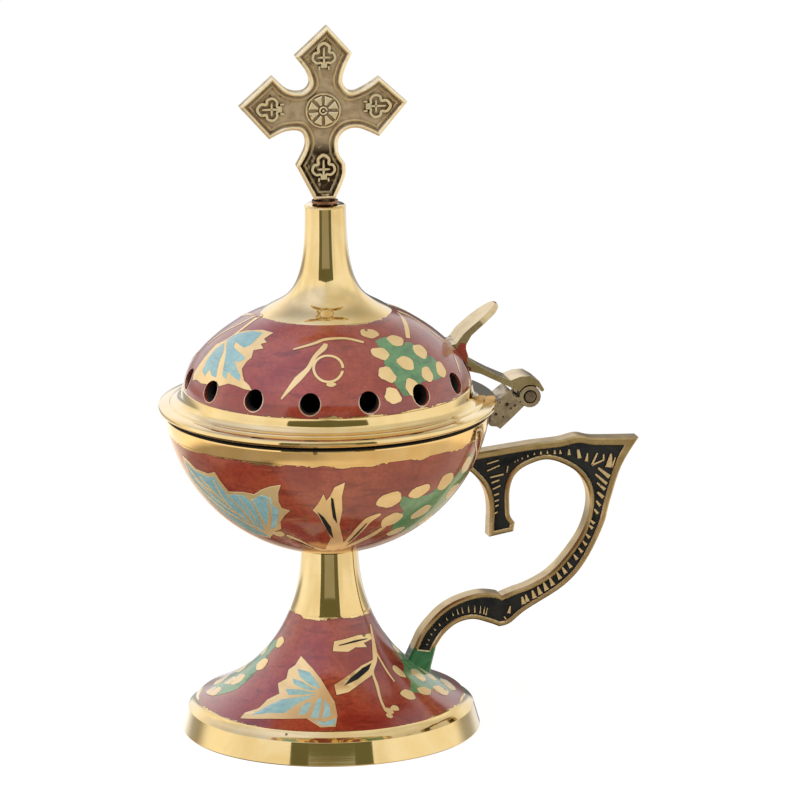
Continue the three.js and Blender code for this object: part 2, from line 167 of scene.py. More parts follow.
def sideStep(line, distances):
    # every point moved to the left of the line's direction, each by its own distance
    moved = []
    for i, ((x, y), distance) in enumerate(zip(line, distances)):
        before, after = line[max(i - 1, 0)], line[min(i + 1, len(line) - 1)]
        dx, dy = after[0] - before[0], after[1] - before[1]
        length = math.hypot(dx, dy)
        moved.append((x - dy / length * distance, y + dx / length * distance))
    return moved


def evenStep(line, distance):
    return sideStep(line, [distance] * len(line))


def spinSection(name, section, steps=144):
    # a closed section in mm (radius, height) is laid on a circle's vertices, then turned round the axis
    deselectAll()
    bpy.ops.mesh.primitive_circle_add(vertices=len(section), radius=0.01, fill_type="NOTHING")
    piece = nameAs(bpy.context.object, name)
    for vertex, (radius, height) in zip(piece.data.vertices, section):
        vertex.co = (axisX + radius * mm, 0, height * mm)
    editAll(lambda: bpy.ops.mesh.spin(steps=steps, angle=2 * math.pi, center=(axisX, 0, 0), axis=(0, 0, 1)),
            weld, turnOut)
    return piece


class Wiring:
    # the nodes of one tree; an input takes a number, a vector or another node's output

    def __init__(self, tree):
        self.tree = tree

    def feed(self, socket, value):
        if isinstance(value, bpy.types.NodeSocket):
            self.tree.links.new(value, socket)
        else:
            socket.default_value = value

    def add(self, kind, inputs=None, **settings):
        node = self.tree.nodes.new(kind)
        for name, value in settings.items():
            setattr(node, name, value)
        for label, value in (inputs or {}).items():
            self.feed(node.inputs[label], value)
        return node

    def math(self, operation, *values):
        return self.add("ShaderNodeMath", dict(enumerate(values)), operation=operation).outputs[0]

    def span(self, value, fromMin, fromMax, toMin=0.0, toMax=1.0):
        # a soft step of the value, between two places, from one level to another
        inputs = {"Value": value, "From Min": fromMin, "From Max": fromMax, "To Min": toMin, "To Max": toMax}
        return self.add("ShaderNodeMapRange", inputs, interpolation_type="SMOOTHSTEP").outputs[0]

    def mix(self, mask, a, b, data="FLOAT", ending="Float"):
        node = self.add("ShaderNodeMix", data_type=data)
        sockets = {socket.identifier: socket for socket in [*node.inputs, *node.outputs]}
        for label, value in (("Factor_Float", mask), (f"A_{ending}", a), (f"B_{ending}", b)):
            self.feed(sockets[label], value)
        return sockets[f"Result_{ending}"]

    def blend(self, mask, a, b):
        a, b = ((*colour, 1) if isinstance(colour, tuple) else colour for colour in (a, b))
        return self.mix(mask, a, b, "RGBA", "Color")


def emptyTree(owner):
    owner.use_nodes = True
    owner.node_tree.nodes.clear()
    return owner.node_tree


# Studio: the camera stands where the photographer stood, in a light tent with a dark opening

studio = {
    "azimuth": -13, "elevation": 13.74, "roll": 0.7, "distance": 1.691, "lens": 313.1,
    "target": 84, "aimRight": 17.67, "aimDown": 1.85,
    # reflected cards: degrees to each side, distance, lower and upper edge, fall of the upper edge, colour
    "cards": {"dark_opening": (33.5, 1600, -560, 880, 145, (0.15, 0.155, 0.085)),
              "grey_strip": (19, 1570, -560, 390, 0, (0.36, 0.36, 0.31))},
    "cardColumns": 48, "cardRows": 4, "cardTaper": 0.06,
    # lamps: degrees round from the camera, distance, height, size in m, watts
    "lamps": {"key_lamp": (-55, 700, 650, 0.5, 6.0), "fill_lamp": (60, 800, 350, 0.6, 2.5)},
    "lampTarget": 80,
    "paper": (0.9, 0.9, 0.9, 1), "paperRadius": 3.0, "paperDrop": 0.05, "glow": 1.08, "glowShare": 0.86,
}

# The light that the tent sends back. Directions run to the right, away from the camera and up; a pair
# gives the two places of a soft step, or the two levels on its sides.
tent = {
    "sideways": (-0.35, 0.35), "walls": (1.44, 1.29), "roof": (1.18, 1.04), "roofEdge": (0.35, 0.6),
    # the low part behind, a dark thing far behind on the right, the roof's back: level, then its edges,
    # each from outside to inside
    "darker": [
        (0.62, [("away", 0.34, 0.62), ("up", 0.12, -0.02), ("up", -0.17, -0.08)]),
        (0.2, [("away", 0.86, 0.95), ("up", 0.36, 0.27), ("right", 0.25, 0.18), ("right", -0.04, 0.05)]),
        (0.6, [("away", 0.2, 0.6), ("up", 0.45, 0.75), ("aside", 0.6, 0.2)]),
    ],
    # the paper on the table, seen in the undersides; the censer's own shade lies on it to the left
    "paperEdge": (-0.40, -0.47), "paperSideways": (-0.6, 0.6), "paper": (0.48, 0.84),
    "shadeEdge": (-0.58, -0.63), "shadeSideways": (-0.12, 0.16), "shade": (0.1, 0.9),
    "cloudScale": 1.7, "cloudEdge": (0.35, 0.65), "cloud": (0.9, 1.05), "diffuse": 0.62, "seen": 1.0,
    # daylight from above on the left is cooler than the rest; the table's light is warmer
    "plain": (0.8, 0.8, 0.8), "cool": (0.78, 0.84, 1.12), "warm": (0.98, 0.81, 0.62),
    "coolUp": (0.3, 0.75), "coolRight": (0.15, -0.25), "warmUp": (-0.24, -0.30),
}


def aroundCamera(degrees, distance, height):
    angle = math.radians(studio["azimuth"] + degrees)
    return Vector((axisX + distance * mm * math.sin(angle), -distance * mm * math.cos(angle), height * mm))


def addCamera():
    a, e = math.radians(studio["azimuth"]), math.radians(studio["elevation"])
    back = Vector((math.sin(a) * math.cos(e), -math.cos(a) * math.cos(e), math.sin(e)))
    right = Vector((math.cos(a), math.sin(a), 0))
    up = back.cross(right)
    roll = math.radians(studio["roll"])
    rightRolled = right * math.cos(roll) - up * math.sin(roll)
    upRolled = right * math.sin(roll) + up * math.cos(roll)
    target = Vector((axisX, 0, studio["target"] * mm))
    place = target + back * studio["distance"]
    aim = target + rightRolled * studio["aimRight"] * mm - upRolled * studio["aimDown"] * mm
    zAxis = (place - aim).normalized()
    xAxis = upRolled.cross(zAxis).normalized()
    yAxis = zAxis.cross(xAxis)
    bpy.ops.object.camera_add(location=place)
    camera = bpy.context.object
    camera.rotation_euler = Matrix((xAxis, yAxis, zAxis)).transposed().to_euler()
    camera.data.lens = studio["lens"]
    camera.data.sensor_width = 36
    camera.data.clip_start = 0.05
    bpy.context.scene.camera = camera


def addCard(name, halfAngle, distance, low, top, fall, colour):
    # an upright card, bent round the censer, that only reflections see
    deselectAll()
    bpy.ops.mesh.primitive_grid_add(x_subdivisions=studio["cardColumns"], y_subdivisions=studio["cardRows"],
                                    size=1)
    card = bpy.context.object
    card.name = name
    for vertex in card.data.vertices:
        across, rise = vertex.co.x * 2, vertex.co.y + 0.5
        crest = top - fall * abs(across)
        degrees = across * halfAngle * (1 - studio["cardTaper"] * rise)
        vertex.co = aroundCamera(degrees, distance, low + (crest - low) * rise)
    material = bpy.data.materials.new(name)
    nodes = Wiring(emptyTree(material))
    light = nodes.add("ShaderNodeEmission", {"Color": (*colour, 1), "Strength": 1.0})
    nodes.add("ShaderNodeOutputMaterial", {"Surface": light.outputs[0]})
    material.cycles.emission_sampling = "NONE"
    paint(card, material)
    for ray in ("camera", "diffuse", "shadow", "transmission"):
        setattr(card, f"visible_{ray}", False)


def addWorld():
    world = bpy.data.worlds.new("lightTent")
    bpy.context.scene.world = world
    world.cycles.sampling_method = "NONE"
    nodes = Wiring(emptyTree(world))
    path = nodes.add("ShaderNodeLightPath").outputs
    glossy = path["Is Glossy Ray"]
    around = nodes.add("ShaderNodeTexCoord").outputs["Generated"]
    unturn = (0, 0, -math.radians(studio["azimuth"]))
    turn = nodes.add("ShaderNodeMapping", {"Vector": around, "Rotation": unturn}, vector_type="POINT")
    split = nodes.add("ShaderNodeSeparateXYZ", {0: turn.outputs[0]}).outputs
    right, away, up = split["X"], split["Y"], split["Z"]
    directions = {"right": right, "away": away, "up": up, "aside": nodes.math("ABSOLUTE", right)}
    light = nodes.mix(nodes.span(up, *tent["roofEdge"]), nodes.span(right, *tent["sideways"], *tent["walls"]),
                      nodes.span(right, *tent["sideways"], *tent["roof"]))
    for level, edges in tent["darker"]:
        inside = 1.0
        for direction, outer, inner in edges:
            inside = nodes.math("MULTIPLY", nodes.span(directions[direction], outer, inner), inside)
        light = nodes.mix(inside, light, level)
    shade = nodes.span(nodes.math("SUBTRACT", right, away), *tent["shadeSideways"], *tent["shade"])
    paper = nodes.span(right, *tent["paperSideways"], *tent["paper"])
    paper = nodes.mix(nodes.span(up, *tent["shadeEdge"]), paper, shade)
    light = nodes.mix(nodes.span(up, *tent["paperEdge"]), light, paper)
    noise = nodes.add("ShaderNodeTexNoise", {"Vector": around, "Scale": tent["cloudScale"], "Detail": 1.0})
    cloud = nodes.span(noise.outputs["Fac"], *tent["cloudEdge"], *tent["cloud"])
    light = nodes.math("MULTIPLY", light, cloud)
    light = nodes.mix(glossy, tent["diffuse"], light)
    seen = nodes.math("MAXIMUM", path["Is Camera Ray"], path["Is Transmission Ray"])
    cool = nodes.math("MULTIPLY", nodes.span(up, *tent["coolUp"]), nodes.span(right, *tent["coolRight"]))
    colour = nodes.blend(nodes.math("MULTIPLY", cool, glossy), tent["plain"], tent["cool"])
    warm = nodes.span(up, *tent["warmUp"])
    colour = nodes.blend(nodes.math("MULTIPLY", warm, glossy), colour, tent["warm"])
    background = nodes.add("ShaderNodeBackground", {
        "Color": colour, "Strength": nodes.mix(seen, light, tent["seen"])})
    nodes.add("ShaderNodeOutputWorld", {"Surface": background.outputs[0]})


def addLamp(name, degrees, distance, height, size, power):
    place = aroundCamera(degrees, distance, height)
    bpy.ops.object.light_add(type="AREA", location=place)
    lamp = bpy.context.object
    lamp.name = name
    aim = Vector((axisX, 0, studio["lampTarget"] * mm)) - place
    lamp.rotation_euler = aim.to_track_quat("-Z", "Y").to_euler()
    lamp.data.shape = "DISK"
    lamp.data.size = size
    lamp.data.energy = power
    lamp.visible_glossy = False


def addFloor():
    deselectAll()
    bpy.ops.mesh.primitive_circle_add(vertices=96, radius=studio["paperRadius"], fill_type="NGON",
                                      location=(0, 0, 0))
    floor = bpy.context.object
    floor.name = "paper_floor"
    applyPlace()
    for vertex in floor.data.vertices:
        vertex.co.z = -studio["paperDrop"] * mm
    material = bpy.data.materials.new("whitePaper")
    nodes = Wiring(emptyTree(material))
    paper = nodes.add("ShaderNodeBsdfDiffuse", {"Color": studio["paper"]})
    glow = nodes.add("ShaderNodeEmission", {"Strength": studio["glow"]})
    seen = nodes.add("ShaderNodeLightPath").outputs["Is Camera Ray"]
    share = nodes.math("MULTIPLY", seen, studio["glowShare"])
    mix = nodes.add("ShaderNodeMixShader", {0: share, 1: paper.outputs[0], 2: glow.outputs[0]})
    nodes.add("ShaderNodeOutputMaterial", {"Surface": mix.outputs[0]})
    paint(floor, material)
    floor.visible_glossy = False  # the tent's floor is part of what the world shows to reflections


deselectAll()
addCamera()
bpy.context.scene.view_settings.view_transform = "Standard"
addWorld()
addFloor()
for name, settings in studio["cards"].items():
    addCard(name, *settings)
for name, settings in studio["lamps"].items():
    addLamp(name, *settings)
print("studio set")


# Effects that several finishes use, each a node group

def newGroup(name, inputs, outputs):
    group = bpy.data.node_groups.new(name, "ShaderNodeTree")
    for label, value in inputs.items():
        kind = "NodeSocketVector" if label == "Vector" else "NodeSocketFloat"
        socket = group.interface.new_socket(label, in_out="INPUT", socket_type=kind)
        if value is not None:
            socket.default_value = value
    for label in outputs:
        group.interface.new_socket(label, in_out="OUTPUT", socket_type="NodeSocketFloat")
    nodes = Wiring(group)
    return nodes, nodes.add("NodeGroupInput").outputs, nodes.add("NodeGroupOutput").inputs


def makeTurningLines():
    # fine rings left by the lathe: noise read along the radius and the height only
    nodes, given, result = newGroup("turningLines", {"Vector": None, "Scale": 4000.0}, ["Height", "Mask"])
    split = nodes.add("ShaderNodeSeparateXYZ", {0: given["Vector"]}).outputs
    across = nodes.math("SUBTRACT", split["X"], axisX)
    square = nodes.math("MULTIPLY_ADD", split["Y"], split["Y"], nodes.math("MULTIPLY", across, across))
    place = nodes.add("ShaderNodeCombineXYZ", {"X": nodes.math("SQRT", square), "Z": split["Z"]}).outputs[0]
    noise = nodes.add("ShaderNodeTexNoise", {"Vector": place, "Scale": given["Scale"], "Detail": 3.0})
    rings = noise.outputs["Fac"]
    mask = nodes.add("ShaderNodeMapRange", {"Value": rings, "From Min": 0.42, "From Max": 0.62})
    nodes.feed(result["Height"], rings)
    nodes.feed(result["Mask"], mask.outputs[0])
    return nodes.tree


def makeBlotches():
    # soft uneven patches, used for tarnish, mottled enamel and worn roughness
    nodes, given, result = newGroup("blotches", {
        "Vector": None, "Scale": 200.0, "Streak": 1.0, "Low": 0.4, "High": 0.6}, ["Mask", "Fine"])
    stretch = nodes.add("ShaderNodeCombineXYZ", {"X": 1, "Y": 1, "Z": given["Streak"]}).outputs[0]
    shaped = nodes.add("ShaderNodeVectorMath", {0: given["Vector"], 1: stretch}, operation="MULTIPLY")
    noise = nodes.add("ShaderNodeTexNoise", {"Vector": shaped.outputs[0], "Scale": given["Scale"],
                                             "Detail": 5.0, "Roughness": 0.62, "Distortion": 0.6})
    cloud = noise.outputs["Fac"]
    nodes.feed(result["Mask"], nodes.span(cloud, given["Low"], given["High"]))
    nodes.feed(result["Fine"], cloud)
    return nodes.tree


def makePits():
    # small dark pits and specks, scattered
    nodes, given, result = newGroup("pits", {
        "Vector": None, "Scale": 300.0, "Size": 0.12, "Share": 0.7}, ["Mask"])
    cells = nodes.add("ShaderNodeTexVoronoi", {"Vector": given["Vector"], "Scale": given["Scale"]}).outputs
    near = nodes.math("LESS_THAN", cells["Distance"], given["Size"])
    draw = nodes.add("ShaderNodeSeparateColor", {0: cells["Color"]}).outputs[0]
    chosen = nodes.math("GREATER_THAN", draw, given["Share"])
    nodes.feed(result["Mask"], nodes.math("MULTIPLY", near, chosen))
    return nodes.tree


def makeHollowShade():
    # painted shade in corners and low places: a mask from how hidden each point is; the finishes also make
    # these places rougher, as soiling
    nodes, given, result = newGroup("hollowShade", {"Distance": 0.0012, "Low": 0.35, "High": 0.8}, ["Mask"])
    corners = nodes.add("ShaderNodeAmbientOcclusion", {"Distance": given["Distance"]}, samples=4)
    nodes.feed(result["Mask"], nodes.span(corners.outputs["AO"], given["Low"], given["High"], 1, 0))
    return nodes.tree


turningLines = makeTurningLines()
blotches = makeBlotches()
pits = makePits()
hollowShade = makeHollowShade()


class Finish(Wiring):
    # one material being wired up, with its object coordinates and its shader

    def __init__(self, name, **sockets):
        self.material = bpy.data.materials.new(name)
        super().__init__(emptyTree(self.material))
        constants = {label.replace("_", " "): value for label, value in sockets.items()}
        self.shader = self.add("ShaderNodeBsdfPrincipled", constants)
        self.add("ShaderNodeOutputMaterial", {"Surface": self.shader.outputs[0]})
        self.place = self.add("ShaderNodeTexCoord").outputs["Object"]

    def use(self, group, output, **values):
        node = self.add("ShaderNodeGroup", values, node_tree=group)
        if "Vector" in node.inputs:
            self.feed(node.inputs["Vector"], self.place)
        return node.outputs[output]

    def set(self, label, value):
        self.feed(self.shader.inputs[label], value)

    def bump(self, height, strength, distance, after=None):
        node = self.add("ShaderNodeBump", {"Height": height, "Strength": strength, "Distance": distance})
        if after is not None:
            self.feed(node.inputs["Normal"], after)
        self.set("Normal", node.outputs[0])
        return node.outputs[0]


# Finishes

speckBrown = (0.16, 0.10, 0.04)
# the pale colour of the painted sheen at grazing angles
grazingSheen = (0.90, 0.82, 0.68)
bareBrass = (0.82, 0.60, 0.27)


def polishedBrass(name, bright, warm, roughness, metal=1.0):
    finish = Finish(name, Metallic=metal)
    lines = finish.use(turningLines, "Mask", Scale=2600.0)
    patches = finish.use(blotches, "Mask", Scale=90.0, Low=0.35, High=0.7)
    specks = finish.use(pits, "Mask", Scale=170.0, Size=0.1, Share=0.8)
    colour = finish.blend(patches, bright, warm)
    colour = finish.blend(finish.math("MULTIPLY", specks, 0.8), colour, speckBrown)
    # painted sheen: seen along its surface the metal's colour is painted paler, as a whitish reflection
    slant = finish.add("ShaderNodeLayerWeight").outputs["Facing"]
    colour = finish.blend(finish.span(slant, 0.55, 0.85, toMax=0.55), colour, grazingSheen)
    finish.set("Base Color", colour)
    rough = finish.mix(patches, roughness, roughness + 0.03)
    rough = finish.math("ADD", rough, finish.math("MULTIPLY", lines, 0.02))
    finish.set("Roughness", finish.math("ADD", rough, finish.math("MULTIPLY", specks, 0.4)))
    finish.bump(finish.use(turningLines, "Height", Scale=2600.0), strength=0.04, distance=0.00005)
    return finish.material


def agedBrass(name, face, shade, hollow, roughness, reach=1.6, grimeAndShadeHigh=0.85, dirtBelow=None):
    # reach in mm is how far the painted shade and soiling spread from a corner; more soiling lies below a
    # height, where one is given
    finish = Finish(name, Metallic=1.0)
    patches = finish.use(blotches, "Mask", Scale=260.0, Low=0.38, High=0.62)
    grimeAndShade = finish.use(hollowShade, "Mask", Distance=reach * mm, Low=0.35, High=grimeAndShadeHigh)
    specks = finish.use(pits, "Mask", Scale=420.0, Size=0.16, Share=0.75)
    dirtAndShade = finish.math("MAXIMUM", finish.math("MULTIPLY", specks, 0.7), grimeAndShade)
    if dirtBelow:
        height = finish.add("ShaderNodeSeparateXYZ", {0: finish.place}).outputs["Z"]
        low = finish.span(height, (dirtBelow + 2) * mm, (dirtBelow - 2) * mm)
        crusts = finish.use(blotches, "Mask", Scale=600.0, Low=0.3, High=0.5)
        dirtAndShade = finish.math("MAXIMUM", dirtAndShade, finish.math("MULTIPLY", low, crusts))
    # specks, soiling and the painted shade of the corners darken towards the hollow colour
    finish.set("Base Color", finish.blend(dirtAndShade, finish.blend(patches, face, shade), hollow))
    rough = finish.mix(patches, roughness, roughness + 0.14)
    finish.set("Roughness", finish.math("ADD", rough, finish.math("MULTIPLY", grimeAndShade, 0.25)))
    grain = finish.bump(finish.use(blotches, "Fine", Scale=1500.0), strength=0.25, distance=0.00015)
    finish.bump(finish.math("SUBTRACT", 1.0, specks), strength=0.4, distance=0.0001, after=grain)
    return finish.material


def glossyEnamel(name, light, middle, dark, edged=False):
    finish = Finish(name, IOR=1.62, Coat_Weight=0.5, Coat_Roughness=0.05)
    clouds = finish.use(blotches, "Mask", Scale=55.0, Low=0.36, High=0.66)
    streaks = finish.use(blotches, "Mask", Scale=120.0, Streak=5.0, Low=0.48, High=0.74)
    grain = finish.use(blotches, "Fine", Scale=1100.0)
    colour = finish.blend(clouds, middle, light)
    colour = finish.blend(finish.math("MULTIPLY", streaks, 0.65), colour, dark)
    colour = finish.blend(finish.span(grain, 0.35, 0.6, 0.3, 0.0), colour, dark)
    rough = finish.mix(clouds, 0.2, 0.12)
    if edged:
        # the metal shows in a torn line along the layer's rims, with a dark line beside it
        rim = finish.add("ShaderNodeAttribute", attribute_name="rimDistance").outputs["Fac"]
        wander = finish.span(finish.use(blotches, "Fine", Scale=95.0), 0.32, 0.68, 0.1, 1.5)
        wander = finish.math("ADD", wander, finish.span(grain, 0.3, 0.7, -0.12, 0.12))
        bare = finish.math("LESS_THAN", rim, wander)
        shadow = finish.math("LESS_THAN", rim, finish.math("ADD", wander, 0.2))
        colour = finish.blend(finish.math("MULTIPLY", shadow, 0.7), colour, dark)
        colour = finish.blend(bare, colour, bareBrass)
        rough = finish.mix(bare, rough, 0.1)
        finish.set("Metallic", bare)
        finish.set("Coat Weight", finish.mix(bare, 0.5, 0.0))
        height = finish.math("SUBTRACT", finish.span(grain, 0.3, 0.7, 0.0, 0.1), bare)
        finish.bump(height, strength=0.5, distance=0.00012)
    else:
        finish.bump(grain, strength=0.1, distance=0.0001)
    finish.set("Base Color", colour)
    finish.set("Roughness", rough)
    return finish.material


def jointedBrass(name, face, shade, hollow, roughness, limits, light, dark):
    # a casting whose root lies under enamel, where every limited coordinate is below its limit
    finish = Finish(name)
    patches = finish.use(blotches, "Mask", Scale=130.0, Low=0.34, High=0.66)
    # painted shade and soiling in the corners darken towards the hollow colour
    grimeAndShade = finish.use(hollowShade, "Mask", Distance=0.0014, Low=0.35, High=0.85)
    split = finish.add("ShaderNodeSeparateXYZ", {0: finish.place}).outputs
    wander = finish.span(finish.use(blotches, "Fine", Scale=170.0), 0.3, 0.7, -0.0011, 0.0011)
    enamel = 1.0
    for axis, limit in limits.items():
        under = finish.math("LESS_THAN", finish.math("ADD", split[axis], wander), limit)
        enamel = finish.math("MULTIPLY", under, enamel)
    colour = finish.blend(grimeAndShade, finish.blend(patches, face, shade), hollow)
    finish.set("Base Color", finish.blend(enamel, colour, finish.blend(patches, light, dark)))
    finish.set("Metallic", finish.math("SUBTRACT", 1.0, enamel))
    finish.set("Roughness", finish.mix(enamel, roughness, 0.16))
    finish.bump(finish.use(blotches, "Fine", Scale=700.0), strength=0.06, distance=0.0002)
    return finish.material


def mottled(name, settings, metalPatches=False, **sockets):
    # two colours in soft patches, each with its own roughness, and a fine grain
    finish = Finish(name, **sockets)
    scale, low, high = settings["patches"]
    mask = finish.use(blotches, "Mask", Scale=scale, Low=low, High=high)
    finish.set("Base Color", finish.blend(mask, *settings["colours"]))
    finish.set("Roughness", finish.mix(mask, *settings["roughness"]))
    if metalPatches:
        finish.set("Metallic", mask)
    scale, strength, distance = settings["grain"]
    finish.bump(finish.use(blotches, "Fine", Scale=scale), strength, distance)
    return finish.material


brass = polishedBrass("polishedBrass", (0.85, 0.65, 0.32), (0.80, 0.57, 0.24), 0.035)
inlayBrass = polishedBrass("engravedBrass", (0.87, 0.64, 0.31), (0.76, 0.52, 0.23), 0.3, 0.6)
lipBrass = polishedBrass("ventLipBrass", (0.66, 0.46, 0.33), (0.55, 0.36, 0.25), 0.3, 0.6)
# each aged brass: face and second tone in patches, then the colour of painted shade and soiling in its
# corners, then roughness
antiqueBrass = agedBrass("antiqueBrass", (0.62, 0.48, 0.27), (0.42, 0.31, 0.16), (0.05, 0.035, 0.018), 0.36)
wornBrass = agedBrass("wornBrass", (0.84, 0.66, 0.38), (0.68, 0.51, 0.27), (0.12, 0.08, 0.04), 0.26)
bracketBrass = agedBrass("bracketBrass", (0.46, 0.38, 0.25), (0.27, 0.22, 0.15), (0.03, 0.02, 0.012), 0.3)
ridgeBrass = agedBrass("ridgeBrass", (1.0, 0.88, 0.60), (0.96, 0.80, 0.50), (0.34, 0.24, 0.12), 0.42,
                       reach=0.6)
fieldBrass = agedBrass("fieldBrass", (0.66, 0.54, 0.36), (0.50, 0.39, 0.25), (0.06, 0.04, 0.02), 0.56,
                       reach=0.8, grimeAndShadeHigh=0.92, dirtBelow=145.5)
pinBrass = agedBrass("pinBrass", (0.24, 0.19, 0.12), (0.14, 0.11, 0.07), (0.03, 0.02, 0.012), 0.4)
collarBrass = agedBrass("collarBrass", (0.40, 0.20, 0.10), (0.26, 0.12, 0.06), (0.05, 0.025, 0.015), 0.35)
# the jointed brass likewise: its third colour is that of painted shade and soiling in its corners
handleBrass = jointedBrass("handleBrass", (0.58, 0.43, 0.21), (0.38, 0.27, 0.12), (0.04, 0.028, 0.014), 0.3,
                           {"Z": 18.1 * mm}, (0.06, 0.22, 0.08), (0.02, 0.09, 0.035))
strapBrass = jointedBrass("strapBrass", (0.68, 0.54, 0.32), (0.50, 0.38, 0.20), (0.06, 0.04, 0.02), 0.2,
                          {"X": axisX + 34.6 * mm, "Z": 94.6 * mm}, (0.26, 0.04, 0.02), (0.13, 0.012, 0.007))
red = glossyEnamel("redEnamel", (0.32, 0.058, 0.024), (0.22, 0.021, 0.009), (0.09, 0.005, 0.003), edged=True)
# a darker red, for the painted shade line round the brass motifs
rimShadeRed = glossyEnamel("rimShadeEnamel", (0.17, 0.028, 0.014), (0.12, 0.018, 0.010), (0.05, 0.006, 0.004))
blue = glossyEnamel("blueEnamel", (0.30, 0.46, 0.43), (0.20, 0.37, 0.38), (0.10, 0.22, 0.25))
green = glossyEnamel("greenEnamel", (0.14, 0.29, 0.11), (0.075, 0.20, 0.07), (0.02, 0.08, 0.03))
black = mottled("blackEnamel", {
    "colours": [(0.006, 0.007, 0.007), (0.016, 0.016, 0.014)], "roughness": (0.3, 0.5),
    "patches": (240.0, 0.4, 0.65), "grain": (500.0, 0.5, 0.0003)}, IOR=1.28)
# the insides: brass under a sooty coat; the same dark finish is painted shade on the chamfer under the bowl's
# flange
sootAndShade = mottled("sootyBrassAndShade", {
    "colours": [(0.012, 0.010, 0.008), (0.16, 0.10, 0.045)], "roughness": (0.75, 0.45),
    "patches": (60.0, 0.56, 0.8), "grain": (700.0, 0.3, 0.0002)}, metalPatches=True)
steel = mottled("plainSteel", {
    "colours": [(0.55, 0.55, 0.54), (0.36, 0.34, 0.31)], "roughness": (0.3, 0.46),
    "patches": (300.0, 0.4, 0.65), "grain": (2200.0, 0.1, 0.00005)}, Metallic=1.0)
print("finishes made")


# Lines of the turned pieces, in mm from the axis and above the floor

footLine = bezierPoints((32.7, 7.7), (8.4, 16.8), (7.05, 39.1), (7.05, 45.1), 96)
domeLine = bezierPoints((34.95, 86.073), (34.95, 93.573), (23.0, 102.173), (15.9, 104.473), 72)
spireLine = bezierPoints((15.9, 104.473), (10.72, 108.673), (5.02, 105.673), (5.02, 130.373), 48)

foot = {
    "band": [(33.5, 0), (36.3, 0), (36.5, 0.25), (35.75, 2.9), (35.0, 5.6)],
    "ledge": [(34.2, 6.05), (33.5, 6.5), (32.95, 7.1)],
    "enamelTop": 9.75, "recess": 0.75, "wall": 2.6, "top": 45.1, "hollow": 30, "hollowNeck": 5.8, "bore": 2.8,
    "bevel": 0.15, "bevelAngle": 25,
}
bowl = {
    "centre": 84.723, "radius": 39.95, "insideRadius": 37.35, "recess": 0.75,
    # arcs round the centre: from and to, in degrees, and their steps
    "enamel": (-77.86, -13.39, 64), "band": (-13.0, -8.1, 8), "inside": (-8.6, -76.0, 40),
    "wall": (-77.86, -7.6, 90),
    "rim": [(39.1, 79.3), (38.9, 79.473), (37.3, 79.473), (36.95, 79.2)],
    "socket": [(2.8, 45.4), (7.05, 45.4)], "floor": [(8.7, 48.4), (2.8, 48.4)], "bevel": 0.12,
    # a sooty coat covers the inside, and painted shade in the same dark finish covers the chamfer under the
    # flange
    "sootTop": 77, "sootRadius": 38, "chamferLow": 79.1, "chamfer": (38.8, 39.45),
}
lid = {
    "flange": [(39.6, 79.873), (41.0, 80.7), (41.2, 80.95), (41.2, 81.45), (41.0, 81.8), (40.6, 81.98),
               (38.75, 82.24), (38.4, 82.3), (38.3, 82.45), (38.1, 82.58), (37.3, 82.7), (36.7, 82.92),
               (36.3, 83.2), (35.95, 83.6), (35.72, 84.0), (35.6, 84.4), (35.25, 86.0)],
    "spireTop": [(4.75, 130.75), (4.5, 130.873), (1.8, 130.873), (1.8, 121.9), (0, 121.9)],
    "recess": 0.75, "wall": 2.6, "seat": 79.873, "crownInside": 101.87, "bevel": 0.1, "bevelAngle": 32,
    "sootTop": 102, "sootDepth": 0.95, "insideStep": 1.4,
    "vents": 15, "ventTurn": -2, "ventHeight": 89.373, "ventRadius": 2.5, "ventReach": 34, "ventDepth": 12,
}
footEnamelLine = [point for point in footLine if point[0] >= foot["enamelTop"]]
bowlEnamelLine = arcPoints(bowl["centre"], bowl["radius"], *bowl["enamel"])


def radiusAt(line, height):
    # the line's radius at a height; below its foot the line goes straight down
    for (r0, z0), (r1, z1) in zip(line, line[1:]):
        if z0 <= height <= z1:
            return r0 + (r1 - r0) * (height - z0) / (z1 - z0)
    return line[0][0] - lid["insideStep"] if height < line[0][1] else line[-1][0]


# faces that pass the test take the second finish: a sooty coat inside, painted shade on the bowl's chamfer
def sootAndShadeFaces(piece, inside):
    for polygon in piece.data.polygons:
        x, y, z = polygon.center / mm
        if inside(math.hypot(x - axisX / mm, y), z):
            polygon.material_index = 1


def makeFoot():
    recess = evenStep(footEnamelLine, foot["recess"])
    above = [point for point in footLine if point[0] < foot["enamelTop"]]
    inner = [point for point in evenStep(footLine, foot["wall"])
             if point[1] < foot["hollow"] and point[0] > foot["hollowNeck"]]
    section = foot["band"] + foot["ledge"] + [footEnamelLine[0]]
    section += recess[1:-1] + [footEnamelLine[-1]] + above
    section += [(foot["bore"], foot["top"]), (foot["bore"], foot["hollow"]), (inner[-1][0], foot["hollow"])]
    section += inner[::-1][::3]
    piece = spinSection("foot_turned", section)
    bevelEdges(piece, foot["bevel"], foot["bevelAngle"])
    smoothShade(piece)
    settleNormals(piece)
    paint(piece, brass)
    finishPiece(piece, "vessel", ["foot"])


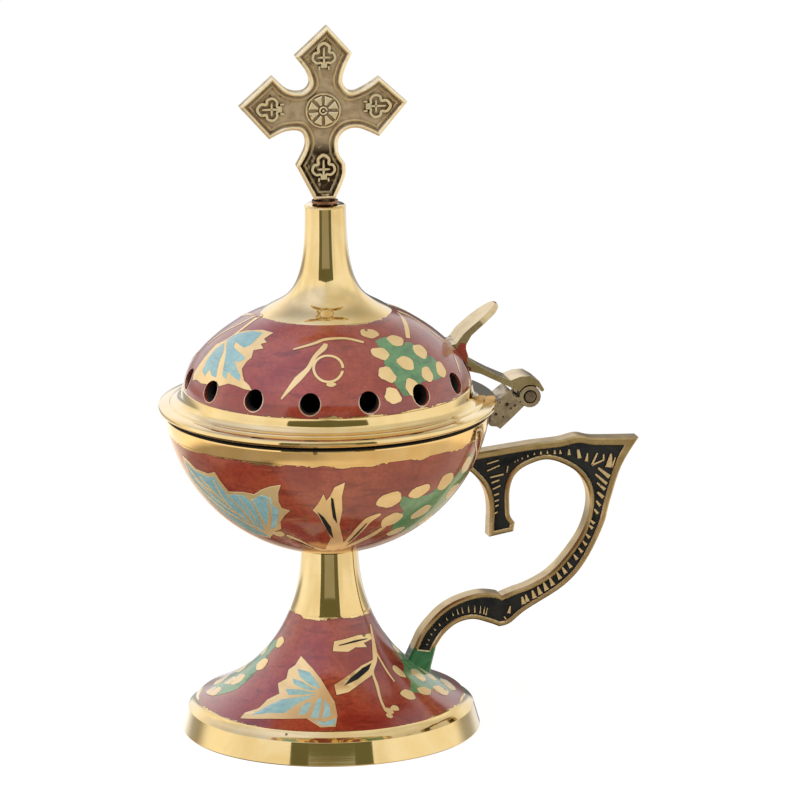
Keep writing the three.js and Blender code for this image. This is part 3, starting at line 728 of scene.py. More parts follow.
def makeBowl():
    recess = evenStep(bowlEnamelLine, bowl["recess"])
    section = bowl["socket"] + [bowlEnamelLine[0]] + recess[1:-1] + [bowlEnamelLine[-1]]
    section += arcPoints(bowl["centre"], bowl["radius"], *bowl["band"]) + bowl["rim"]
    section += arcPoints(bowl["centre"], bowl["insideRadius"], *bowl["inside"]) + bowl["floor"]
    piece = spinSection("bowl_turned", section)
    bevelEdges(piece, bowl["bevel"])
    smoothShade(piece)
    paint(piece, brass, sootAndShade)
    # a sooty coat inside; painted shade on the chamfer under the flange
    sootAndShadeFaces(piece, lambda radius, height: height < bowl["sootTop"]
              and math.hypot(radius, height - bowl["centre"]) < bowl["sootRadius"]
              or height > bowl["chamferLow"] and bowl["chamfer"][0] < radius < bowl["chamfer"][1])
    finishPiece(piece, "vessel", ["bowl"])


def ventAngles():
    step = 360 / lid["vents"]
    return [math.radians((i + 0.5) * step + lid["ventTurn"]) for i in range(lid["vents"])]


def drillVents(piece):
    deselectAll()
    cutters = []
    for angle in ventAngles():
        reach = lid["ventReach"] * mm
        place = (axisX + reach * math.cos(angle), reach * math.sin(angle), lid["ventHeight"] * mm)
        bpy.ops.mesh.primitive_cylinder_add(
            vertices=40, radius=lid["ventRadius"] * mm, depth=lid["ventDepth"] * mm, location=place,
            rotation=(0, math.pi / 2, angle))
        cutters.append(bpy.context.object)
    cutter = joinPieces("vent_cutters", cutters)
    applyPlace()
    cutAway(piece, cutter)


def makeLid():
    recess = evenStep(domeLine, lid["recess"])
    inner = [point for point in evenStep(domeLine, lid["wall"]) if point[1] < lid["crownInside"]]
    section = [(inner[0][0], lid["seat"])] + lid["flange"] + [domeLine[0]] + recess[1:-1] + [domeLine[-1]]
    section += spireLine[1:] + lid["spireTop"] + [(0, lid["crownInside"])] + inner[::-1][::2]
    piece = spinSection("lid_turned", section)
    drillVents(piece)
    bevelEdges(piece, lid["bevel"], lid["bevelAngle"])
    smoothShade(piece)
    paint(piece, brass, sootAndShade)
    sootAndShadeFaces(piece, lambda radius, height: height < lid["sootTop"]
              and radius < radiusAt(domeLine, height) - lid["sootDepth"])
    finishPiece(piece, "lid", ["lid"])


enamelDepth = 0.72
# layers: line, body, node, then by how many mm the torn line of metal is narrower at the lower rim and
# at the upper rim, and how much more so at the upper rim's front
enamelLayers = {
    "foot_enamel_layer": (footEnamelLine, "vessel", "foot_enamel", 0.75, 0.2, 0.7),
    "bowl_enamel_layer": (bowlEnamelLine, "vessel", "bowl_enamel", 2.0, 0.7, 0.0),
    "lid_enamel_layer": (domeLine, "lid", "lid_enamel", 0.8, 0.6, 0.0),
}


def measureRims(piece, line, fromStart, fromEnd, frontLift):
    # each vertex keeps its distance in mm, along the line, to the nearer rim of the layer
    lengths = lengthsAlong(line)
    rims = piece.data.attributes.new("rimDistance", "FLOAT", "POINT")
    for vertex in piece.data.vertices:
        spot = (math.hypot(vertex.co.x - axisX, vertex.co.y) / mm, vertex.co.z / mm)
        nearest = min(range(len(line)), key=lambda i: math.dist(line[i], spot))
        upper = lengths[-1] - lengths[nearest] + fromEnd - frontLift * vertex.co.y / mm / spot[0]
        rims.data[vertex.index].value = min(lengths[nearest] + fromStart, upper)


def makeEnamelLayer(name, line, body, node, *rimSettings):
    piece = spinSection(name, line + evenStep(line, enamelDepth)[::-1])
    if body == "lid":
        drillVents(piece)
    smoothShade(piece)
    measureRims(piece, line, *rimSettings)
    paint(piece, red)
    finishPiece(piece, body, [node])


makeFoot()
makeBowl()
makeLid()
print("turned pieces made")
for name, settings in enamelLayers.items():
    makeEnamelLayer(name, *settings)
print("enamel layers made")


# Ornament: drawn flat in mm (across, up the wall), cut into small faces, then laid round its wall

gridStep = 2.0
sharpLimit = 0.45  # keeps a sharp corner from shooting out when its outline grows
motifRoot = -0.3  # how deep every plate reaches into its wall
rimShadeWidth = 0.16  # of the painted shade line round a motif's brass
lipWidth = 0.24  # of the bright lip round a vent
motifAngle, castAngle, crossAngle = 40, 35, 32  # edges blunter than this look smooth
# layers: height over the wall, how much of the edge is eased, finish, slot
motifLayers = {
    # rim: painted shade, a dark red line round every brass shape
    "rim": (0.035, 0, rimShadeRed, "enamel"),
    "green": (0.055, 0.03, green, "enamel"),
    "brass": (0.10, 0.05, inlayBrass, "polished_brass"),
    "blue": (0.15, 0.05, blue, "enamel"),
    "vein": (0.19, 0.05, inlayBrass, "polished_brass"),
    "slit": (0.16, 0, black, "black_enamel"),
    "lip": (0.07, 0.04, lipBrass, "polished_brass"),
}
motifPieces = {}


def layOnWall(piece, line, turn):
    # across goes round the wall, from turn in degrees, and up goes along its line
    lengths = lengthsAlong(line)
    for vertex in piece.data.vertices:
        across, rise, lift = vertex.co / mm
        i = 0
        while i < len(line) - 2 and lengths[i + 1] < rise:
            i += 1
        run = lengths[i + 1] - lengths[i]
        share = (rise - lengths[i]) / run
        dr, dz = (line[i + 1][0] - line[i][0]) / run, (line[i + 1][1] - line[i][1]) / run
        radius = line[i][0] + dr * run * share
        angle = math.radians(turn) + across / radius
        reach = (radius + lift * dz) * mm
        vertex.co = (axisX + reach * math.sin(angle), -reach * math.cos(angle),
                     (line[i][1] + dz * run * share - lift * dr) * mm)


def shoelace(outline):
    return sum(a[0] * b[1] - b[0] * a[1] for a, b in zip(outline, outline[1:] + outline[:1])) / 2


def grown(outline, distance):
    # the outline moved outwards all round, or inwards for a distance below 0
    side = math.copysign(1, shoelace(outline))
    moved = []
    for i, here in enumerate(outline):
        normals = []
        for a, b in ((outline[i - 1], here), (here, outline[(i + 1) % len(outline)])):
            length = math.dist(a, b) or 1
            normals.append(((b[1] - a[1]) / length * side, (a[0] - b[0]) / length * side))
        nx, ny = normals[0][0] + normals[1][0], normals[0][1] + normals[1][1]
        length = math.hypot(nx, ny) or 1
        nx, ny = nx / length, ny / length
        reach = distance / max(nx * normals[0][0] + ny * normals[0][1], sharpLimit)
        moved.append((here[0] + nx * reach, here[1] + ny * reach))
    return moved


def smoothLine(points, steps=4):
    # a smooth line through the points
    line = []
    for i in range(len(points) - 1):
        p0, p1, p2 = points[max(i - 1, 0)], points[i], points[i + 1]
        p3 = points[min(i + 2, len(points) - 1)]
        for k in range(steps):
            t = k / steps
            line.append(tuple(0.5 * (2 * p1[n] + (p2[n] - p0[n]) * t
                                     + (2 * p0[n] - 5 * p1[n] + 4 * p2[n] - p3[n]) * t * t
                                     + (3 * p1[n] - p0[n] - 3 * p2[n] + p3[n]) * t ** 3) for n in range(2)))
    return line + [points[-1]]


def stroke(points, widths):
    # the outline of a smooth line, whose width changes along it
    line = smoothLine(points)
    halves = []
    for i in range(len(line)):
        place = i / (len(line) - 1) * (len(widths) - 1)
        k = min(int(place), len(widths) - 2)
        halves.append((widths[k] + (widths[k + 1] - widths[k]) * (place - k)) / 2)
    return sideStep(line, halves) + sideStep(line, [-half for half in halves])[::-1]


def oval(x, y, halfWidth, halfHeight, lean=0, points=16, uneven=0.05):
    shape = []
    for i in range(points):
        angle = 2 * math.pi * i / points
        size = 1 + uneven * math.sin(3 * angle + x) + uneven * math.sin(5 * angle + y)
        shape.append((halfWidth * size * math.cos(angle), halfHeight * size * math.sin(angle)))
    return turned(shape, (x, y), lean)


def turned(points, place, degrees):
    a = math.radians(degrees)
    return [(place[0] + x * math.cos(a) - y * math.sin(a), place[1] + x * math.sin(a) + y * math.cos(a))
            for x, y in points]


def disc(x, y, radius, points):
    return oval(x, y, radius, radius, 0, points, 0)


def ringStroke(x, y, halfWidth, halfHeight, width, points=28):
    # a ring as one outline with a hair-thin slit in it
    outer = oval(x, y, halfWidth + width / 2, halfHeight + width / 2, 0, points, 0)
    inner = oval(x, y, halfWidth - width / 2, halfHeight - width / 2, 0, points, 0)
    return outer + inner[::-1]


def flatPlates(name, outlines, low, high, edge):
    # each outline: a filled circle whose vertices are moved onto it, raised, with its upper edge eased
    deselectAll()
    bpy.ops.mesh.primitive_circle_add(vertices=len(outlines[0]), radius=1, fill_type="NGON")
    piece = bpy.context.object
    bpy.ops.object.mode_set(mode="EDIT")
    for outline in outlines[1:]:
        bpy.ops.mesh.primitive_circle_add(vertices=len(outline), radius=1, fill_type="NGON")
    bpy.ops.object.mode_set(mode="OBJECT")
    places = [place for outline in outlines for place in outline]
    for vertex, (x, y) in zip(piece.data.vertices, places):
        vertex.co = (x * mm, y * mm, low * mm)
    piece.location = (0, 0, 0)

    def raiseTop():
        bpy.ops.mesh.extrude_region_move(TRANSFORM_OT_translate={"value": (0, 0, (high - low) * mm)})
        if edge:
            bpy.ops.mesh.bevel(offset=edge * mm, segments=1, affect="EDGES", clamp_overlap=True)

    editAll(raiseTop, turnOut)
    piece.name = name
    return piece


def cutGrid(piece):
    # straight cuts across and up, so that flat faces can follow a round wall
    cuts = []
    for axis, direction in ((0, (1, 0, 0)), (1, (0, 1, 0))):
        spread = [vertex.co[axis] for vertex in piece.data.vertices]
        low, high = min(spread), max(spread)
        count = int((high - low) / (gridStep * mm))
        for i in range(1, count + 1):
            place = [0, 0, 0]
            place[axis] = low + (high - low) * i / (count + 1)
            cuts.append(lambda at=place, facing=direction: bpy.ops.mesh.bisect(plane_co=at, plane_no=facing))
    pick(piece)
    editAll(*cuts, bpy.ops.mesh.quads_convert_to_tris)


def layPlates(layer, outlines, line, turns):
    height, edge = motifLayers[layer][:2]
    for turn in turns:
        piece = flatPlates(layer, outlines, motifRoot, height, edge)
        cutGrid(piece)
        layOnWall(piece, line, turn)
        motifPieces.setdefault(layer, []).append(piece)


def finishMotifs(wallName, body):
    for layer, pieces in motifPieces.items():
        piece = joinPieces(f"{wallName}_{layer}_ornament", pieces)
        if body == "lid":
            drillVents(piece)
        smoothShade(piece, motifAngle)
        paint(piece, motifLayers[layer][2])
        finishPiece(piece, body)
    motifPieces.clear()


def layMotifs(wallName, body, line, motifs):
    # every layer of a motif is laid on the front and again on the back
    for motif in motifs:
        # the painted shade line: every brass outline, grown a little
        motif["rim"] = [grown(outline, rimShadeWidth) for outline in motif["brass"]]
        for layer in motifLayers:
            if layer in motif:
                layPlates(layer, motif[layer], line, (motif["turn"], motif["turn"] + backTurn[wallName]))
    finishMotifs(wallName, body)


def layVentRings():
    # the bright lip that the drill left round every vent
    nearest = min(range(len(domeLine)), key=lambda i: abs(domeLine[i][1] - lid["ventHeight"]))
    radius = lid["ventRadius"] + lipWidth
    ring = oval(0, lengthsAlong(domeLine)[nearest], radius, radius, 0, 28, 0.01)
    layPlates("lip", [ring], domeLine, [math.degrees(angle) + 90 for angle in ventAngles()])
    finishMotifs("lid_vent", "lid")


lidLeaf = {
    "turn": -60,
    "brass": [
        [(-11.2, 16.8), (-14, 14.4), (-14.8, 11.4), (-15.3, 8.3), (-16, 5.4), (-15, 4), (-12.6, 4.7),
         (-9.8, 4.4), (-6.8, 4.8), (-3.8, 6.2), (-2.2, 5.2), (0.6, 6.4), (3, 6.3), (6, 5.8), (8.3, 5.7),
         (6.8, 7), (4.8, 7.9), (3.4, 9.4), (2.2, 10.9), (2.2, 13), (2.8, 14.4), (1.7, 16.6), (4, 17.7),
         (2.2, 18.9), (3.5, 19.7), (1.8, 20.6), (2.6, 23.2), (-1.2, 23.4), (-6.4, 21.5), (-9.4, 19.5)],
        stroke([(-9.6, 18.8), (-8.8, 21), (-8.3, 24), (-8.1, 27.6)], [0.5, 1, 1.1, 1.5]),
    ],
    "blue": [
        [(-10.5, 15.8), (-12.2, 13.6), (-12.6, 10.6), (-11.7, 7.2), (-9.5, 6.3), (-8.8, 8.4), (-6.8, 7.1),
         (-4.5, 7), (-6.6, 10.9), (-7.8, 13.8)],
        [(-10.6, 17), (-8.6, 19.5), (-3.8, 22.1), (-0.2, 22.4), (-0.2, 19.8), (-0.4, 17.8), (-1.6, 16.6),
         (-6.2, 17.5), (-5.4, 16), (-0.5, 14.6), (1.3, 13.8), (0, 12.3), (-1.5, 12.5), (0.8, 10.5), (3, 9),
         (3.6, 7.6), (0.5, 8.5), (-1.5, 9.4), (-0.9, 7.3), (-2.6, 7.9), (-4.7, 11.4), (-6.8, 14.1)],
    ],
}
lidTendril = {
    "turn": -12,
    "brass": [
        stroke([(-8.6, 18.4), (-3.3, 20.7), (-0.6, 22.1), (4.2, 22.2), (8.7, 20.3)],
               [0.4, 0.8, 0.9, 0.7, 0.7]),
        stroke([(8.7, 20.5), (8.4, 19), (4.6, 20.8), (0.9, 21), (-1.6, 19.8)], [0.6, 0.7, 0.5, 0.6, 0.4]),
        stroke([(-0.6, 20.6), (-1.2, 19.1), (-3.3, 16.4), (-5, 12.8), (-7.7, 9.6), (-11.8, 4.4)],
               [0.9, 1.5, 1, 1.1, 1.6, 0.3]),
        stroke([(-0.5, 20), (1.4, 17.9), (3.2, 16.6)], [0.9, 0.8, 0.3]),
        ringStroke(-0.2, 12.9, 3.5, 3.8, 0.65),
        oval(0.4, 8.4, 1.2, 0.6),
    ],
}
lidGrapes = {
    "turn": 30,
    "brass": [
        oval(-4.3, 23.1, 2.3, 1.8), oval(0.8, 19.2, 2.3, 1.9, -10), oval(5.7, 14.3, 2.2, 2.2, -25),
        oval(-6.1, 16.2, 2.2, 2.0), oval(-1.2, 12.2, 2.3, 2.1, -15), oval(3.3, 8, 1.8, 2.1, -25),
        oval(9, 8, 1.8, 2.2, -25), oval(-8, 10, 2.1, 2.3, 0, 16, 0.08),
        oval(-9.1, 4.4, 2.1, 2.1, 0, 16, 0.08), oval(-2.9, 5.6, 2, 2.4),
        [(13.4, 26.3), (11.5, 25.2), (9.8, 24.2), (6, 20.8), (4.6, 19.2), (5.7, 18.6), (8, 20.6),
         (11.5, 23.6)],
        stroke([(12.6, 25.4), (12.2, 22), (12.6, 17.5), (12, 13.8), (10.6, 11.9)], [0.5, 0.8, 0.7, 1.2, 0.8]),
        stroke([(15, 26), (17.8, 22), (19.4, 16), (21.2, 12.6)], [0.9, 0.6, 0.6, 0.4]),
        stroke([(19.9, 9), (18.6, 7), (17.4, 5.2)], [0.5, 0.7, 0.3]),
    ],
    "green": [
        [(-4.8, 20.2), (-2.6, 21), (-0.7, 21), (1.2, 17), (3.5, 18), (5, 17.2), (6, 13.5), (8.8, 11.5),
         (9.4, 9), (7.6, 6.2), (5.1, 6), (0.6, 6.6), (-3.5, 3.9), (-6.2, 3.9), (-7.4, 7.2), (-7, 13),
         (-5.2, 17)],
    ],
}
bowlLeaf = {
    "turn": -50,
    "brass": [
        [(-20.2, 41.8), (-16.6, 40.7), (-14.3, 39.4), (-9, 39.2), (-6.2, 40.3), (-5.2, 38), (-3.4, 35),
         (1.2, 35.8), (4.4, 35.6), (6.8, 37.3), (9.6, 38.6), (12.5, 39.3), (11.2, 37), (10.3, 34),
         (10.4, 31.9), (12.3, 31.2), (10.2, 29.3), (7.9, 26.5), (6.8, 23.5), (4.2, 21.8), (0.3, 17.2),
         (-3.5, 17.1), (-8, 20.2), (-12.5, 25.8), (-17.6, 31), (-20.6, 35.4)],
        stroke([(1, 18.6), (-2.6, 19.2), (-3.8, 21)], [1.2, 1.6, 1.4]),
    ],
    "blue": [
        [(-19.4, 40.6), (-15.4, 38.8), (-9.2, 38.2), (-6.9, 38.9), (-6, 37), (-4.4, 33.8), (-2, 34.4),
         (1, 34.8), (2.6, 33.2), (4.6, 34.6), (6.6, 35.8), (8.8, 35), (8.4, 32.6), (9.4, 31), (7.4, 27.2),
         (6, 24.4), (3.5, 22.6), (0.2, 18.6), (-3.2, 18.4), (-7.3, 21.2), (-11.8, 26.6), (-16.8, 31.6),
         (-19.6, 35.6)],
    ],
    "vein": [
        stroke([(1, 19.6), (2.8, 26), (3.2, 33.8)], [1.1, 0.9, 0.5]),
        stroke([(1, 19.6), (-1.6, 23.6), (-6, 29.6), (-13.4, 37.4)], [1.1, 1.0, 0.9, 0.6]),
        stroke([(1, 19.6), (6.2, 28.6), (8, 34.8)], [1.1, 0.9, 0.5]),
        stroke([(1, 19.6), (-4, 24), (-11, 28.6), (-18, 33.8)], [1.0, 0.8, 0.8, 0.6]),
        stroke([(-1.4, 23.6), (-1.4, 29), (-4.6, 34)], [0.8, 0.8, 0.5]),
        stroke([(-6.2, 29.8), (-7, 33.6), (-7.6, 37.6)], [0.8, 0.7, 0.5]),
        stroke([(-9, 32.8), (-14.4, 35.2), (-18.6, 39)], [0.7, 0.7, 0.5]),
        stroke([(0.2, 22.4), (0.8, 28), (-0.6, 34)], [0.3, 0.6, 0.3]),
        stroke([(-3.4, 26.2), (-9.4, 30.4), (-16.8, 36)], [0.3, 0.5, 0.3]),
    ],
}
bowlSprig = {
    "turn": -10,
    "brass": [
        [(-5.6, 31.6), (-4.4, 33.6), (-3.1, 36.9), (-2.4, 34.8), (-1.5, 36.2), (-0.5, 38.9), (2, 40.3),
         (1.3, 36), (1.5, 31.5), (0.9, 26.2), (1.8, 20), (2.6, 14), (0.2, 10.2), (-2, 11.4), (-1.7, 15),
         (-0.9, 19.8), (-2.3, 24.4), (-4.2, 29.8)],
        stroke([(1.6, 13), (3.6, 18.2), (6, 23.6), (8.1, 27.2), (11, 29.1)], [1.4, 1.7, 2.3, 2.1, 0.8]),
        stroke([(1.6, 11.6), (5.5, 16.2), (9.8, 20.4), (13, 24.2)], [0.9, 1.5, 1.4, 0.6]),
        stroke([(-11.8, 20.4), (-9, 18), (-5.4, 13.6), (-1.6, 10.4)], [0.7, 1.3, 1.3, 1.1]),
        oval(-13.9, 20.6, 1.6, 1.3),
    ],
    "slit": [
        [(-4.5, 31.2), (-2.8, 29.1), (-1.1, 25.3), (-0.3, 19.6), (-1.5, 22.2), (-3.4, 28.2)],
        [(-1.3, 35.9), (-0.7, 35.4), (-0.2, 31.5), (0.4, 26.6), (-0.7, 29), (-1.2, 33.1)],
        stroke([(-10.6, 18.6), (-8.4, 16.8), (-4.6, 12.8)], [0.2, 0.5, 0.2]),
        stroke([(3.4, 17), (5.6, 22), (7.6, 26)], [0.3, 0.5, 0.2]),
    ],
}
bowlGrapes = {
    "turn": 25,
    "brass": [
        oval(-8, 33.7, 3.3, 2.5), oval(0.1, 34.9, 3.2, 1.9, 10), oval(8.8, 35.9, 2.9, 2.5, 20),
        oval(-4.4, 26.1, 2.8, 2.6, 15), oval(4.5, 26.7, 3.2, 2, 25), oval(15, 31, 2.8, 2.1, 30),
        oval(17.2, 38.5, 2.3, 2.5, 20), oval(10.5, 20.6, 2.8, 1.9, 30), oval(0.2, 19.6, 2.4, 1.7, 20),
        stroke([(19, 47.6), (22.6, 46.8), (24.6, 43.4), (24.4, 38)], [0.5, 0.9, 0.9, 0.4]),
        stroke([(19, 47.6), (19.6, 44), (23.2, 40), (24.4, 36)], [0.5, 0.6, 0.7, 0.4]),
    ],
    "green": [
        [(-4.6, 34.4), (-2, 33), (3.7, 33.1), (6.9, 35.3), (8.5, 38.6), (12.6, 36.4), (14.4, 38),
         (17.6, 41.8), (20.6, 40.6), (20.4, 35), (17.8, 28.4), (12.6, 22), (9, 18.4), (3, 17.6),
         (-1.6, 19.8), (-3, 24.4), (-2.4, 29), (-4.6, 31.6)],
    ],
}
footLeaf = {
    "turn": -20,
    "brass": [
        [(-5.7, 23), (-2.4, 20), (-0.2, 17.3), (1.7, 14.1), (3.7, 10.6), (4.8, 6.1), (4.8, 2), (1.2, 1.8),
         (-2.5, 4.9), (-5.4, 4.6), (-12, 3.6), (-20.7, 1.6), (-19.8, 3.8), (-15.8, 6.3), (-13.7, 9.6),
         (-10.6, 11.9), (-11.5, 14.7), (-9.2, 16.4), (-8.9, 18.9), (-7.1, 20.4)],
    ],
    "blue": [
        [(-6.3, 19.5), (-3.2, 19), (-0.7, 16), (-0.1, 14.3), (-2.9, 15.5), (-5.5, 17.4)],
        [(-7.4, 16.7), (-4.8, 16.2), (-0.8, 13.8), (-4, 14), (-6.9, 15.3)],
        [(-9, 13.5), (-5.8, 13.9), (-0.9, 13.2), (-4.4, 12.4), (-8, 11.9)],
        [(-17.6, 3.4), (-13.3, 7.6), (-9.7, 10.3), (-4.6, 11.8), (-0.9, 12.8), (-5.3, 9.5), (-8.5, 6),
         (-12.5, 5.4)],
        [(-4.8, 5.8), (-4.1, 8.9), (-2.7, 10.4), (-1.8, 9.8), (-2.7, 6.6)],
        [(-1.6, 5.2), (-1.1, 8.4), (-0.7, 11.2), (0.5, 11.8), (0.5, 8.4), (0.3, 5)],
        [(1.2, 4.9), (1.4, 8.4), (1.1, 11.2), (2.7, 9.2), (3.2, 6)],
        [(-0.6, 4.2), (2.1, 3.7), (4.5, 5), (4.5, 2.6), (1.7, 2.3)],
    ],
}
footBranch = {
    "turn": 25,
    "brass": [
        stroke([(4.6, 29.6), (3.8, 26.5), (2.6, 23.1), (1.4, 20.9),
                (-0.8, 18.1), (-1.7, 14.2), (-3.2, 10), (-4.2, 6)],
               [0.5, 1, 1.5, 1.3, 0.6, 0.8, 0.6, 0.7]),
        stroke([(2.8, 23.1), (3.2, 20.5), (3.5, 17.1), (3.9, 14)], [0.8, 0.5, 0.6, 0.4]),
        [(3.4, 27.6), (-0.9, 28), (-7.2, 27.1), (-8.4, 24.6), (-4.7, 24.2), (-2.5, 25.1), (0.7, 24.6),
         (0.2, 25.8), (3.2, 26.2)],
        [(1.2, 21.2), (-2.8, 20.3), (-7.5, 18), (-12, 15.6), (-13, 12.6), (-9.7, 13.3), (-5.7, 15.4),
         (-1.2, 17.4)],
        oval(-3.4, 5.8, 1, 1.2), oval(-1.4, 6.4, 1.1, 1), oval(-4.4, 4.2, 0.8, 0.9),
    ],
    "slit": [
        [(0, 20.4), (-3.1, 19.5), (-7.3, 17.2), (-9.8, 15.2), (-5.6, 16.7), (-1.6, 18.8)],
        stroke([(1.6, 26.6), (-2, 26.6), (-6.4, 26)], [0.2, 0.5, 0.2]),
    ],
}
footGrapesLeft = {
    "turn": -80,
    "brass": [
        oval(0.2, 24.8, 1.6, 1.5), oval(-1.2, 17.8, 2.3, 1.8, 20), oval(-5.8, 11, 2.7, 1.9, 25),
        oval(-8.8, 4.6, 2.7, 1.6, 10), oval(-6.5, 20.4, 1.7, 1.5), oval(-12.6, 12.8, 2.4, 1.8),
        oval(-16.5, 6, 2.6, 1.7),
    ],
    "green": [
        [(0.6, 25.8), (-1.2, 22), (-2.6, 16.2), (-7, 9.4), (-9.8, 5.4), (-14.6, 3), (-19.2, 5), (-17.4, 9.6),
         (-13.4, 15.4), (-7.4, 21.8), (-3, 24.6)],
    ],
}
footGrapesRight = {
    "turn": 50,
    "brass": [
        oval(-0.9, 16, 1.3, 2.1, 15), oval(-5.4, 9.3, 2, 1.8, 20), oval(0.9, 8.3, 2.4, 1.5, -15),
        oval(7.4, 5, 2.6, 1.4, -10), oval(14.5, 3.6, 2.7, 1.4, -5), oval(5.8, 11.6, 2.1, 1.4, -15),
        oval(12.4, 9, 2.3, 1.5, -10),
    ],
    "green": [
        [(6.4, 21), (3.5, 16.6), (0.6, 15.2), (0.2, 12.6), (-3.6, 10), (-1.4, 8.4), (3.4, 7.6), (7.8, 5.6),
         (14, 4.4), (19.5, 4.2), (20.5, 9), (17, 14), (12, 21)],
    ],
}

bowlWall = arcPoints(bowl["centre"], bowl["radius"], *bowl["wall"])
backTurn = {"foot": 180, "bowl": 183, "lid": 187}  # degrees from a motif to its copy on the back
layMotifs("foot", "vessel", footLine, [footLeaf, footBranch, footGrapesLeft, footGrapesRight])
layMotifs("bowl", "vessel", bowlWall, [bowlLeaf, bowlSprig, bowlGrapes])
layMotifs("lid", "lid", domeLine, [lidLeaf, lidTendril, lidGrapes])
layVentRings()
print("ornament laid on")


# Castings: outlines in mm from the axis and above the floor, seen from the front and stood upright

def standUp(piece, centre=(0, 0), turn=0):
    # what was raised in the flat drawing now comes towards the front
    a = math.radians(turn)
    for vertex in piece.data.vertices:
        x, z, lift = vertex.co
        vertex.co = (axisX + centre[0] * mm + x * math.cos(a) + lift * math.sin(a),
                     x * math.sin(a) - lift * math.cos(a), centre[1] * mm + z)


def flipOver(piece):
    for vertex in piece.data.vertices:
        vertex.co.z = -vertex.co.z


def backCopy(piece):
    # the same plates on the other face
    deselectAll()
    copy = piece.copy()
    copy.data = piece.data.copy()
    bpy.context.scene.collection.objects.link(copy)
    flipOver(copy)
    return copy


def loft(name, loops, paints, capPaint, materials):
    # every later loop is extruded from the one before; paints has one material number a band
    count = len(loops[0])
    deselectAll()
    bpy.ops.mesh.primitive_circle_add(vertices=count, radius=0.01, fill_type="NGON")
    piece = bpy.context.object
    for k, loop in enumerate(loops):
        if k:
            bpy.ops.object.mode_set(mode="EDIT")
            if k == 1:
                bpy.ops.mesh.select_all(action="SELECT")
            bpy.ops.mesh.extrude_region_move()
            bpy.ops.object.mode_set(mode="OBJECT")
        for vertex, (x, y, lift) in zip(piece.data.vertices[-count:], loop):
            vertex.co = (x * mm, y * mm, lift * mm)
    paint(piece, *materials)
    for polygon in piece.data.polygons:
        rows = {index // count for index in polygon.vertices}
        polygon.material_index = paints[min(rows)] if len(rows) > 1 else capPaint
    piece.name = name
    return piece


def ringLoops(sections, profile):
    # sections: the outline's stretches between its corners, each smooth, each ending where the next begins;
    # profile: how far in from the outline and how far forward each loop lies
    places = [place for section in sections for place in section[:-1]]
    loops = []
    for inset, lift in profile:
        moved, loop, first = grown(places, -inset), [], 0
        for section in sections:
            last = first + len(section) - 1
            run = moved[first:last] + [moved[last % len(moved)]]
            loop += (smoothLine(run, 5) if len(run) > 2 else run)[:-1]
            first = last
        loops.append([(x, z, lift) for x, z in loop])
    return loops


def bothFaces(profile):
    # the profile of the front face, and the same for the back
    return [(inset, -lift) for inset, lift in profile] + profile[::-1]


cross = {
    "centre": 154.073, "turn": -6, "stud": 1.5, "studLow": -31.9, "studHigh": -20.4,
    "outline": [
        [(2.4, -21.9), (4.75, -16.4), (4.9, -13.3)],
        [(4.9, -13.3), (3.35, -10.6), (3.3, -7.4), (5.0, -5.1), (8.3, -4.6), (13.2, -6.8)],
        [(13.2, -6.8), (20.1, 1.35)],
        [(20.1, 1.35), (13.35, 7.7)],
        [(13.35, 7.7), (9.4, 5.2), (6.3, 4.4), (4.5, 6.6), (4.9, 9.6), (6.8, 13.8)],
        [(6.8, 13.8), (0.85, 20.6)],
        [(0.85, 20.6), (-7.0, 13.4)],
        [(-7.0, 13.4), (-4.3, 9.6), (-3.6, 6.6), (-5.4, 4.8), (-8.9, 5.3), (-12.5, 8.7)],
        [(-12.5, 8.7), (-20.6, 1.5)],
        [(-20.6, 1.5), (-13.5, -6.6)],
        [(-13.5, -6.6), (-9.5, -4.8), (-6.0, -4.9), (-4.7, -7.2), (-5.1, -9.8), (-7.0, -13.4)],
        [(-7.0, -13.4), (-2.7, -21.9)],
        [(-2.7, -21.9), (2.4, -21.9)],
    ],
    # from the sunk field, over a thin ridge and a groove, to the rim and the edge
    "profile": [(2.1, 0.95), (1.8, 1.5), (1.5, 1.05), (1.25, 1.0), (0.85, 1.45), (0.55, 1.75), (0.2, 1.55),
                (0, 1.1)],
    "bands": [1, 1, 2, 2, 1, 1, 1],
    # the rosette: its middle and radius, the petals, the ring in them (radius, width) and its eye
    "middle": -0.3, "boss": 4.35, "bossProfile": [(0.6, 1.25), (0.4, 1.5), (0.15, 1.5), (0, 1.2)],
    "petal": [(1.35, -0.25), (2.4, -0.55), (3.5, -1.05), (3.5, 1.05), (2.4, 0.55), (1.35, 0.25)],
    "petals": 8, "ring": (0.85, 0.42), "eye": 0.3,
    # places of the clovers on the four arms, each with its lean, then the lines that draw one
    "motifs": [((0, 13.4), 0), ((-13.2, 0.7), 90), ((12.9, 0.7), -90), ((-0.4, -14.0), 0)],
    "clover": [
        ([(-0.5, -2.9), (-0.6, -1.7), (-1.8, -1.7), (-2.7, -0.7), (-2.3, 0.6), (-1.3, 0.9), (-1.3, 2.2),
          (0, 3.1), (1.3, 2.2), (1.3, 0.9), (2.3, 0.6), (2.7, -0.7), (1.8, -1.7), (0.6, -1.7), (0.5, -2.9)],
         [0.5, 0.7, 0.5]),
        ([(0, -2.9), (0, -0.4), (0, 1.9)], [0.4, 0.55, 0.3]),
        ([(-1.5, -0.4), (1.5, -0.4)], [0.3, 0.55, 0.3]),
        ([(-1.2, -3.4), (-1.1, -2.5)], [0.4, 0.4]),
        ([(1.2, -3.4), (1.1, -2.5)], [0.4, 0.4]),
    ],
    # reliefs: how deep they reach, their height and their eased edge
    "rosetteRelief": (0.9, 1.75, 0.16), "cloverRelief": (0.8, 1.55, 0.16),
}


